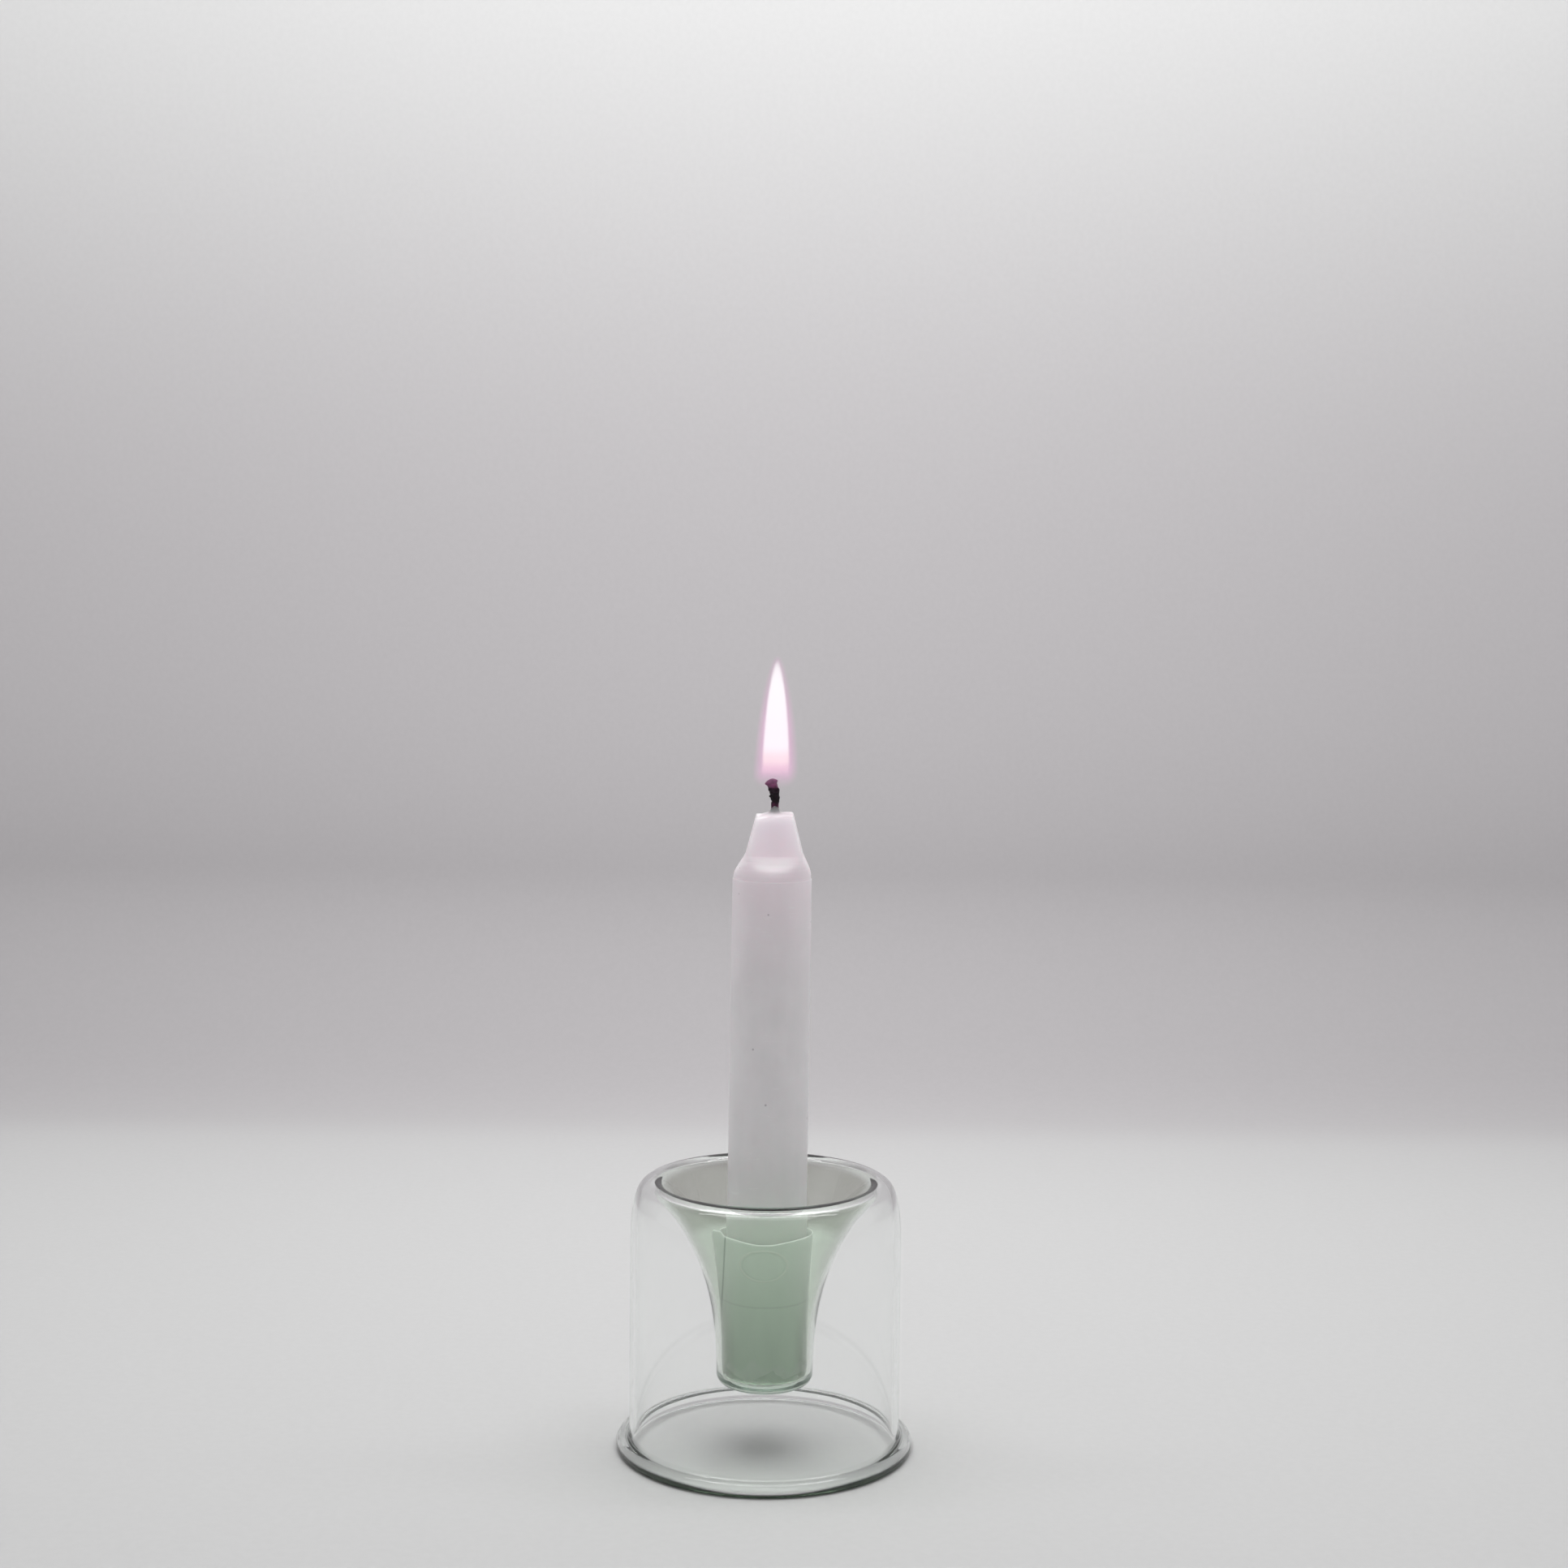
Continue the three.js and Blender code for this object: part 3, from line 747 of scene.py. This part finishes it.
def glass_profile(s):
    """Profile (r, z) of the one-piece glass, with how green each point is and where painted shade darkens the
    cup's far lip.

    It runs from the middle of the cup's underside out and up the cup's outside, over the top of the
    cavity, down the bell's inside, round the foot, up the bell's outside, over the crest and down the
    inside of the cup to the middle of its floor. Lines and easy bends are cubic curves, and the corners,
    the foot's bead and the crest are arcs. Each point's place on the bead comes last: its angle in
    degrees about the middle of the bead, or 180 elsewhere.
    """
    wall = s.bell_radius - s.bell_wall
    crest = s.bell_radius - s.shoulder_run
    cavity = wall - s.cavity_inset
    cavity_top = s.bell_height - s.crest_thickness
    shoulder = s.bell_height - s.shoulder_drop
    cup = s.socket_radius + s.cup_wall
    outer_corner, inner_corner = 3.0 * MM, 1.5 * MM
    bead_r = s.foot_radius - s.bead_radius
    half_land = s.land_width / 2
    bead_z = math.sqrt(s.bead_radius ** 2 - half_land ** 2)
    land = math.degrees(math.asin(half_land / s.bead_radius))
    bead_top = bead_z + s.bead_radius
    low = s.cup_underside + outer_corner
    inner_low = s.cup_floor + inner_corner
    slope = np.array([math.cos(s.flare_angle), math.sin(s.flare_angle)])
    fold = np.array([cavity - 0.7 * MM, cavity_top - 0.8 * MM])
    roll = s.crest_roll
    over = arc((crest, s.bell_height - roll), roll, 90, 90 + math.degrees(s.flare_angle), 16)
    parts = [
        (bezier((POLE, s.cup_underside), (4 * MM, s.cup_underside), (7 * MM, s.cup_underside),
                (cup - outer_corner, s.cup_underside), 8), 1.0),
        (arc((cup - outer_corner, low), outer_corner, -90, 0, 14)[1:], 1.0),
        (bezier((cup, low), (cup, low + 28 * MM), fold - 15 * MM * slope, fold, 60)[1:], 1.0),
        (bezier(fold, fold + 0.5 * MM * slope, (cavity - 0.35 * MM, cavity_top),
                (cavity, cavity_top), 8)[1:], 1.0),
        (bezier((cavity, cavity_top), (cavity + 0.7 * s.cavity_inset, cavity_top),
                (wall, cavity_top - 2.8 * MM), (wall, shoulder), 40)[1:], 0.0),
        (straight(wall, shoulder, s.foot_rise), 0.0),
        (bezier((wall, s.foot_rise), (wall, 3.2 * MM), (bead_r - half_land - 1.3 * MM, 0.9 * MM),
                (bead_r - half_land, 0.0), 16)[1:], 0.0),
        (arc((bead_r, bead_z), s.bead_radius, -90 + land, 90, 28), 0.0),
        (bezier((bead_r - 0.2 * MM, bead_top), (s.bell_radius + 0.2 * MM, bead_top),
                (s.bell_radius, bead_top + 0.8 * MM), (s.bell_radius, s.foot_rise), 12), 0.0),
        (straight(s.bell_radius, s.foot_rise, shoulder), 0.0),
        (bezier((s.bell_radius, shoulder), (s.bell_radius, shoulder + 0.76 * s.shoulder_drop),
                (crest + 0.8 * s.shoulder_run, s.bell_height), (crest, s.bell_height), 36)[1:], 0.0),
        (over[1:], 1.0),
        (bezier(over[-1], over[-1] - 12 * MM * slope, (s.socket_radius, inner_low + 24 * MM),
                (s.socket_radius, inner_low + 4 * MM), 64)[1:], 1.0),
        (arc((s.socket_radius - inner_corner, inner_low), inner_corner, 0, -90, 10), 1.0),
        (bezier((s.socket_radius - inner_corner, s.cup_floor), (7 * MM, s.cup_floor), (4 * MM, s.cup_floor),
                (POLE, s.cup_floor), 8)[1:], 1.0),
    ]
    profile = np.concatenate([p for p, _ in parts])
    tinted = np.concatenate([np.full(len(p), t) for p, t in parts])
    r, z = profile.T
    inside = tinted > 0.5
    fade = smooth(crest, crest - 0.6 * MM, r)
    under = smooth(cavity + 0.1 * MM, cavity - 0.5 * MM, r) * (z <= cavity_top)
    thin = 1.0 - 0.12 * smooth(40 * MM, 60 * MM, z)
    tint = np.where(inside, np.maximum(fade, under) * thin, 0.0)
    lip = inside * smooth(57 * MM, 63 * MM, z) * smooth(crest - 1.5 * MM, crest - 3.5 * MM, r)
    lip = lip * (r > 14 * MM) * (np.arange(len(r)) > len(r) // 2)
    turn = np.degrees(np.arctan2(z - bead_z, r - bead_r))
    on_bead = np.abs(np.hypot(r - bead_r, z - bead_z) - s.bead_radius) < 0.05 * MM
    under_bead = np.where(on_bead & (turn > -82), turn, 180.0)
    return profile, tint, lip, under_bead


class CANDLESTICK_OT_glass(bpy.types.Operator):
    """Turns the one-piece double-walled glass: bell, crest and cup"""
    bl_idname = "candlestick.glass"
    bl_label = "Glass Bell and Cup"

    def execute(self, context):
        s = context.scene.candlestick_glass
        profile, tint, lip, under_bead = glass_profile(s)
        rows = revolve(profile, 224)
        aside, front = np.abs(rows[..., 0]) / profile[:, :1], -rows[..., 1] / profile[:, :1]
        # Painted shade: the bead's dark band reaches higher at the sides than in front.
        limit = -8 + 30 * smooth(0.1, 0.7, aside)
        mesh = skin("glass", rows, poles=(True, True), attributes={
            "tint": tint[:, None] * (0.3 + 0.7 * smooth(0.2, 0.75, front)),
            # Painted shade on the cup's far lip and on its sides.
            "painted_far_shade": np.maximum(lip[:, None] * smooth(-6 * MM, 6 * MM, rows[..., 1]),
                                0.22 * (tint[:, None] > 0) * smooth(0.55, 0.85, aside) * (1 - lip[:, None])),
            "bead": smooth(limit + 8, limit - 16, under_bead[:, None]) * smooth(-0.3, 0.1, front),
        })
        show("glass_shell", mesh, glass_material(s), "holder", "clear_glass", "outer_bell", "candle_cup")
        return {"FINISHED"}


# ---------- candle and wick ----------

# The candle's shoulder, by share of its rise: half its width across and in front, by share of the stick's,
# and how square it is.
ACROSS = ((-0.2, 0.0, 0.2, 0.41, 0.61, 0.82, 1.02), (1.0, 1.0, 0.987, 0.93, 0.863, 0.785, 0.725))
IN_FRONT = ((-0.2, 0.2, 0.42, 0.56, 0.68, 0.85, 1.02), (1.0, 0.998, 0.965, 0.90, 0.845, 0.785, 0.727))
SQUARENESS = ((0.1, 0.5, 0.8, 1.1, 1.5), (2.0, 2.9, 4.6, 9.0, 15.0))
# The top's edge turned over: share of the edge's distance kept, and height gained in mm.
TURNED_OVER = (
    (0.988, 0.965, 0.93, 0.87, 0.78, 0.66, 0.53, 0.42), (0.22, 0.38, 0.50, 0.58, 0.63, 0.66, 0.70, 0.80),
)
# The wax that stands up round the wick: radius and height in mm.
PEAK = ((1.78, 1.55, 1.36, 1.22, 1.12, 1.06, 1.03), (0.38, 0.62, 0.92, 1.22, 1.45, 1.52, 1.40))


def softened(values):
    """Each value mixed with its two neighbours on either side."""
    return np.convolve(np.pad(values, 2, "edge"), [0.1, 0.2, 0.4, 0.2, 0.1], "valid")


def candle_rows(s, around):
    """Rows of the candle's surface, from the bore at its foot round the outside to the bore again.

    A level is a rounded square with half sides S(z) across and F(z) in front, which meets the direction a
    at ((|cos a| / S)^n + (|sin a| / F)^n)^(-1/n). The power n grows from 2, a circle, in the stick to 15 in
    the tip, and no level is wider than the stick itself. In front the shoulder is a ledge, steeper than
    at the sides. Over the side come the top's edge turned over, the wax round the wick and the bore.
    """
    a = full_turn(around)
    top_of_shoulder = s.shoulder + s.shoulder_rise
    height = top_of_shoulder + s.tip_length
    thin = s.radius - s.taper
    slope = (s.tip_base - s.tip_top) / s.tip_length
    round_foot = 1.1 * MM
    z = np.concatenate([
        np.linspace(round_foot, s.shoulder - 1.5 * MM, 60),
        np.linspace(s.shoulder - 1.2 * MM, top_of_shoulder + 3 * MM, 84),
        np.linspace(top_of_shoulder + 3.3 * MM, height - 0.6 * MM, 30),
    ])
    body = s.radius - s.taper * np.clip(z / s.shoulder, 0, 1)
    tip = s.tip_top + slope * (height - z)
    rise = (z - s.shoulder) / s.shoulder_rise
    wide, deep = (thin * softened(np.interp(rise, *shape)) for shape in (ACROSS, IN_FRONT))
    wide, deep = (
        np.where(rise < -0.15, body, np.where(rise < 1.02, half, tip))[:, None] for half in (wide, deep)
    )
    n = np.interp(rise, *SQUARENESS)[:, None]
    square = ((np.abs(np.cos(a)) / wide) ** n + (np.abs(np.sin(a)) / deep) ** n) ** (-1 / n)
    capped = (square ** -50.0 + (0.995 * thin) ** -50.0) ** (-1 / 50.0)
    radius = np.where(rise[:, None] < 0.0, square, capped)
    radius = radius * (1 + 0.0016 * np.sin(2 * a + 0.4) * np.cos(z[:, None] * 45))
    shift = s.tip_offset * smooth(s.shoulder, top_of_shoulder, z)[:, None]
    side = turned(a, radius, z[:, None], shift)
    foot_r = arc((s.radius - round_foot, round_foot), round_foot, -90, -6, 8)
    bore = s.wick_radius + CLEARANCE
    foot_r = np.concatenate([[[bore, 0.0], [0.5 * s.radius, 0.0]], foot_r])
    foot = turned(a, foot_r[:, :1], foot_r[:, 1:])
    foot[0, :, 0] += s.tip_offset
    # The top: the square edge turned over, a gently uneven face, then the wax that stands up round the wick.
    edge = side[-1] - np.array([s.tip_offset, 0.0, 0.0])
    keep, lift = (np.array(column)[:, None] for column in TURNED_OVER)
    lift = lift * MM
    ex, ey = edge[None, :, 0] * keep, edge[None, :, 1] * keep
    hollow = 0.85 * MM * smooth(0.5 * MM, 5 * MM, -ex) * smooth(0.2, 0.9, keep)
    uneven = 0.10 * MM * np.sin(ex * 900 + 1.0) * np.cos(ey * 700)
    top = np.stack(np.broadcast_arrays(ex + s.tip_offset, ey, z[-1] + lift - hollow + uneven), -1)
    ring_r, ring_z = (np.array(column)[:, None] * MM for column in PEAK)
    creep = 0.75 * MM * np.clip(-np.sin(a), 0, 1) ** 3 * smooth(0.4 * MM, 1.5 * MM, ring_z)
    peak_z = height - 0.1 * MM + ring_z + creep - 0.35 * MM * smooth(0.0, 1.0, np.sin(a))
    peak = turned(a, ring_r, peak_z, s.tip_offset)
    bore_z = np.array([height - 1 * MM, height - 4 * MM, *np.linspace(height - 10 * MM, 6 * MM, 12)])
    bore_r = np.array([1.03 * MM, 1.1 * MM, *np.full(12, bore)])
    hole = turned(a, bore_r[:, None], bore_z[:, None], s.tip_offset)
    return np.concatenate([foot, side, top, peak, hole])


class CANDLESTICK_OT_candle(bpy.types.Operator):
    """Makes the wax: a round stick with a sloping shoulder and a square tip, bored for its wick"""
    bl_idname = "candlestick.candle"
    bl_label = "Candle"

    def execute(self, context):
        s = context.scene.candlestick_candle
        rows = lean_points(candle_rows(s, 240), s)
        mesh = skin("candle", rows, closed_along=True)
        show("candle_wax", mesh, wax_material(s), "candle", "wax", "candle_body")
        return {"FINISHED"}


class CANDLESTICK_OT_wick(bpy.types.Operator):
    """Makes the braided wick, whole, with its burnt end curled over"""
    bl_idname = "candlestick.wick"
    bl_label = "Wick"

    def execute(self, context):
        s = context.scene.candlestick_candle
        height = s.shoulder + s.shoulder_rise + s.tip_length
        top = height + s.wick_exposed + 0.45 * MM
        straight = height + 0.3 * s.wick_exposed
        line = np.concatenate([
            np.stack([np.full(40, s.tip_offset), np.zeros(40), np.linspace(0, straight - 0.2 * MM, 40)], -1),
            bezier((s.tip_offset, 0, straight), (s.tip_offset, 0, straight + 2.6 * MM),
                   (s.tip_offset - 0.55 * MM, 0.15 * MM, top - 2.4 * MM),
                   (s.tip_offset - 1.35 * MM, 0.25 * MM, top - 0.35 * MM), 60),
        ])
        rows = lean_points(wick_rows(line, 40, s, height, top), s)
        mesh = skin("wick", rows, poles=(True, True))
        material = wick_material(s, s.foot_height + height, WICK_BOX[1].z)
        show("wick_braid", mesh, material, "candle", "charred_wick", "wick")
        return {"FINISHED"}


def wick_rows(line, straight_points, s, height, top):
    """A round section carried along the wick's line.

    Its radius is the wick's, swelling above the wax and closing at the end, with three braided strands
    as ridges 0.09 cos(3 a + k z), their crossing 0.06 cos(3 a - k z), lumps, and one nub near the end.
    """
    a = full_turn(36)
    line = np.concatenate([line[:straight_points], resample(line[straight_points:], 70)])
    z = line[:, 2][:, None]
    burnt = smooth(height - 1 * MM, height + 4 * MM, z)
    end = np.clip(1 - np.clip((z - (top - 1.4 * MM)) / (1.05 * MM), 0, 0.98) ** 3, 0.0, 1.0) ** 0.5
    swell = s.wick_radius * (0.98 + 0.36 * smooth(height + 2 * MM, height + 6.0 * MM, z)) * end
    braid = 0.09 * np.cos(3 * a + z * 2600) + 0.06 * np.cos(3 * a - z * 2600 + 1.3)
    lumps = 0.07 * np.sin(2 * a + z * 3100) + 0.05 * np.sin(5 * a - z * 4300) + 0.04 * np.sin(z * 6200 + a)
    r = swell * (1 + 0.35 * braid + burnt * (0.65 * braid + lumps))
    nub = 0.65 * MM * np.exp(-((z - (top - 1.1 * MM)) / (0.55 * MM)) ** 2)
    r = r + nub * np.clip(-np.cos(a), 0, 1) ** 3 * burnt
    r = np.where(z < height - 0.5 * MM, np.minimum(r, s.wick_radius), r)
    r = np.where((z >= height - 0.5 * MM) & (z < height + 1.8 * MM), np.minimum(r, 1.02 * s.wick_radius), r)
    tangent = np.gradient(line, axis=0)
    tangent /= np.linalg.norm(tangent, axis=1)[:, None]
    side = np.cross(np.array([0.0, 1.0, 0.0]), tangent)
    side /= np.linalg.norm(side, axis=1)[:, None]
    back = np.cross(tangent, side)
    out, over = (r * np.cos(a))[..., None], (r * np.sin(a))[..., None]
    return line[:, None, :] + out * side[:, None, :] + over * back[:, None, :]


# ---------- film ----------

class CANDLESTICK_OT_film(bpy.types.Operator):
    """Rolls the strip of film that packs the candle in the cup"""
    bl_idname = "candlestick.film"
    bl_label = "Fitting Film"

    def execute(self, context):
        s = context.scene.candlestick_film
        rows, painted_rim_light, torn = film_rows(s, 260, 90)
        mesh = skin("film", rows, attributes={"painted_rim_light": painted_rim_light, "torn": torn})
        show("film_roll", mesh, film_material(s), "film", "film", "fit_film")
        return {"FINISHED"}


def film_rows(s, across, up):
    """A strip rolled round the candle. Each row is one loop round its outer and inner face.

    The angle runs over the lap's share of a turn, open at -X. The radius is R + opening h^2, h the share
    of the height. The first end stands off by the tail, h^1.2 times, over its last 14 degrees, and the
    lower edge is torn and crumpled: its height and radius vary with the angle.
    """
    turn = 2 * np.pi * s.lap
    start = -np.pi + (2 * np.pi - turn) / 2
    u = np.linspace(0.0, 1.0, across)
    h = np.linspace(0.0, 1.0, up)[:, None]
    a = start + turn * u[None, :]
    torn = 0.5 + 0.28 * np.sin(7 * a + 0.6) + 0.22 * np.sin(17 * a + 2.0)
    foot = s.foot - 0.55 * MM + 1.1 * MM * torn * smooth(0.0, 1.0, torn)
    flap = smooth(0.05, 0.035, u) - smooth(0.012, 0.0, u)
    dip = 1.2 * MM * np.exp(-((a + 1.62) / 0.55) ** 2)
    upper = s.top + 1.5 * MM - dip + 1.2 * MM * flap
    z = foot + (upper - foot) * h
    free = smooth(0.055, 0.0, u)[None, :]
    crumple = (1 - smooth(0.0, 0.10, h)) * (0.16 * np.sin(11 * a) + 0.12 * np.sin(23 * a + 4 * h))
    ripple = 0.05 * np.sin(3 * a + 5 * h) * smooth(0.3, 1.0, h)
    mid = s.radius + s.thickness / 2 + s.opening * h ** 2 + s.tail * h ** 1.2 * free
    mid = mid + (0.5 * crumple + ripple) * MM - 0.1 * MM * (1 - smooth(0.0, 0.03, h))
    outer, inner = (turned(a, mid + side * s.thickness / 2, z) for side in (1, -1))
    loop = np.concatenate([outer, inner[:, ::-1]], axis=1)
    edge_low, edge_high = loop[:1].copy(), loop[-1:].copy()
    for edge in (edge_low, edge_high):
        middle = 0.5 * (edge[:, :across] + edge[:, across:][:, ::-1])
        edge[:, :across] = middle
        edge[:, across:] = middle[:, ::-1]
    rows = np.concatenate([edge_low, loop, edge_high])
    height = np.concatenate([[0.0], h[:, 0], [1.0]])[:, None] + np.zeros((1, 2 * across))
    ends = np.concatenate([u, u[::-1]])[None, :]
    # Painted highlight on the top edge and the two ends.
    painted_rim_light = np.maximum(smooth(0.985, 0.995, height), smooth(0.012, 0.004, ends) * smooth(0.0, 0.3, height))
    torn = smooth(0.12, 0.07, height + 0.03 * np.sin(60 * ends) + 0.02 * np.sin(23 * ends))
    return rows, painted_rim_light, torn


# ---------- flame ----------

# Skins of the bright part, from the outermost in: share of the flame's width, and how solid.
CORE_SKINS = ((1.05, 0.22), (0.97, 0.45), (0.9, 0.6), (0.8, 0.65), (0.65, 0.65), (0.45, 0.65))
HALO_SKINS, HALO_SOLID = 7, 0.036
FLAME_AROUND = 64  # points round a skin
HALO_START = 0.12  # first skin of the glow, over the bright part's width
LAMP_HEIGHT = 200 * MM


class CANDLESTICK_OT_flame(bpy.types.Operator):
    """Makes the flame as nested skins of light, with its faint glow and the light it gives"""
    bl_idname = "candlestick.flame"
    bl_label = "Flame"

    def execute(self, context):
        s, candle = context.scene.candlestick_flame, context.scene.candlestick_candle
        core = joined("flame_core", [core_skin(s, candle, size, solid) for size, solid in CORE_SKINS])
        tones = [
            (height * MM, tuple(tone)) for height, tone in
            ((-5, s.lilac), (-1, s.lilac), (1.2, s.blush), (4.2, s.peach), (8, s.core), (32, s.core))
        ]
        fire = fire_material("flame_light", s.foot, tones, 1.04)
        show("flame_core", core, fire, "candle", "flame", "flame")
        sizes = 1.0 + np.linspace(HALO_START, s.halo / s.radius, HALO_SKINS)
        faint = HALO_SOLID * (1 - 0.45 * np.arange(HALO_SKINS) / HALO_SKINS)
        halo = joined("flame_halo", [halo_skin(s, candle, *skin_of) for skin_of in zip(sizes, faint)])
        glow = [(-5 * MM, tuple(s.glow)), (30 * MM, tuple(s.glow))]
        show("flame_glow", halo, fire_material("flame_glow", s.foot, glow, 1.0), "candle", "flame")
        data = bpy.data.lights.new("flame_light", "POINT")
        data.energy, data.shadow_soft_size, data.color = s.light, 3 * MM, (1.0, 0.86, 0.93)
        lamp = placed("flame_light", data)
        lamp.location = (axis_x(candle, LAMP_HEIGHT), 0.0, LAMP_HEIGHT)
        lamp.parent = frame["bodies"]["candle"]
        return {"FINISHED"}


def axis_x(candle, z):
    """Where the leaning wick's line crosses a height."""
    return candle.tip_offset + (z - candle.foot_height) * math.sin(candle.lean)


def teardrop(s, candle, size, top, low):
    """Rows of a teardrop, a share of the flame's width, and each row's height over its widest level.

    Above its widest level the radius is R (1 - t^1.5)^0.54 up to the point. Below it the radius is
    R (1 - 0.42 d^2.2) down to a foot that closes under the wick's end.
    """
    t = np.linspace(0.0, 1.0, 70) ** 0.9
    d = np.linspace(1.0, 0.0, 16, endpoint=False)
    lower = np.stack([1 - 0.42 * d ** 2.2, s.foot - (s.foot - low) * d], -1)
    upper = np.stack([np.clip(1 - t ** 1.5, 0.0, 1.0) ** 0.54, s.foot + (top - s.foot) * t], -1)
    profile = np.concatenate([lower, upper]) * (s.radius * size, 1.0)
    profile[-1, 0] = 0.1 * POLE
    rows, z = revolve(profile, FLAME_AROUND), profile[:, 1]
    bend = 0.35 * MM * smooth(s.foot + 3 * MM, s.foot - 3 * MM, z)
    rows[..., 0] += (axis_x(candle, z) - bend)[:, None]
    return rows, z - s.foot


def flame_skin(name, rows, solid):
    """The mesh of a teardrop that is as solid as its rows say."""
    return skin(name, rows, poles=(True, True), attributes={"solid": np.repeat(solid, FLAME_AROUND)})


def core_skin(s, candle, size, solid):
    """A skin of the bright part. Inner skins start higher, which leaves the dark zone over the wick."""
    rows, height = teardrop(s, candle, size, s.top - (1 - size) * 6.5 * MM, s.foot - 3.6 * MM)
    start = (8.0 * max(0.0, 1 - size) - 2.6) * MM
    solid = solid * smooth(start, start + 8.0 * MM, height)
    return flame_skin("core", rows, solid * (1.0 - 0.65 * smooth(18 * MM, 30 * MM, height)))


def halo_skin(s, candle, size, solid):
    """A skin of the faint glow round the bright part."""
    top = s.top + (size - 1.0) * s.radius * 0.75
    rows, height = teardrop(s, candle, size, top, s.foot - 4.2 * MM - 1.2 * MM * (size - 1.0))
    solid = solid * smooth(-4.5 * MM, 2.0 * MM, height)
    return flame_skin("halo", rows, solid * (1 - 0.55 * smooth(10 * MM, 30 * MM, height)))


def joined(name, meshes):
    """One mesh of several, with their point attributes."""
    objects = [placed(name, mesh) for mesh in meshes]
    chosen = dict(active_object=objects[0], selected_objects=objects, selected_editable_objects=objects)
    with bpy.context.temp_override(**chosen):
        bpy.ops.object.join()
    mesh = objects[0].data
    bpy.data.objects.remove(objects[0])
    mesh.name = name
    return mesh


# ---------- panel and registration ----------

class CANDLESTICK_PT_panel(bpy.types.Panel):
    """Lists the pieces and the stage"""
    bl_idname = "CANDLESTICK_PT_panel"
    bl_label = "Glass Candlestick"
    bl_space_type = "VIEW_3D"
    bl_region_type = "UI"
    bl_category = "Candlestick"

    def draw(self, context):
        for owner, operators in PARTS:
            box = self.layout.box()
            settings = getattr(context.scene, owner)
            for operator in operators:
                box.operator(operator)
            for key in settings.bl_rna.properties.keys():
                if key not in ("rna_type", "name"):
                    box.prop(settings, key)


PARTS = (
    ("candlestick_stage", ("candlestick.stage",)),
    ("candlestick_glass", ("candlestick.glass",)),
    ("candlestick_film", ("candlestick.film",)),
    ("candlestick_candle", ("candlestick.candle", "candlestick.wick")),
    ("candlestick_flame", ("candlestick.flame",)),
)
SETTINGS = {
    "candlestick_stage": StageSettings,
    "candlestick_glass": GlassSettings,
    "candlestick_film": FilmSettings,
    "candlestick_candle": CandleSettings,
    "candlestick_flame": FlameSettings,
}
CLASSES = (
    *SETTINGS.values(),
    CANDLESTICK_OT_stage,
    CANDLESTICK_OT_glass,
    CANDLESTICK_OT_film,
    CANDLESTICK_OT_candle,
    CANDLESTICK_OT_wick,
    CANDLESTICK_OT_flame,
    CANDLESTICK_PT_panel,
)


def register():
    for cls in CLASSES:
        bpy.utils.register_class(cls)
    for key, cls in SETTINGS.items():
        setattr(bpy.types.Scene, key, bpy.props.PointerProperty(type=cls))


def unregister():
    for key in SETTINGS:
        delattr(bpy.types.Scene, key)
    for cls in reversed(CLASSES):
        bpy.utils.unregister_class(cls)


def main():
    """Registers the classes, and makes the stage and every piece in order."""
    register()
    bpy.ops.candlestick.stage()
    bpy.ops.candlestick.glass()
    bpy.ops.candlestick.film()
    bpy.ops.candlestick.candle()
    bpy.ops.candlestick.wick()
    bpy.ops.candlestick.flame()


if __name__ == "__main__":
    main()
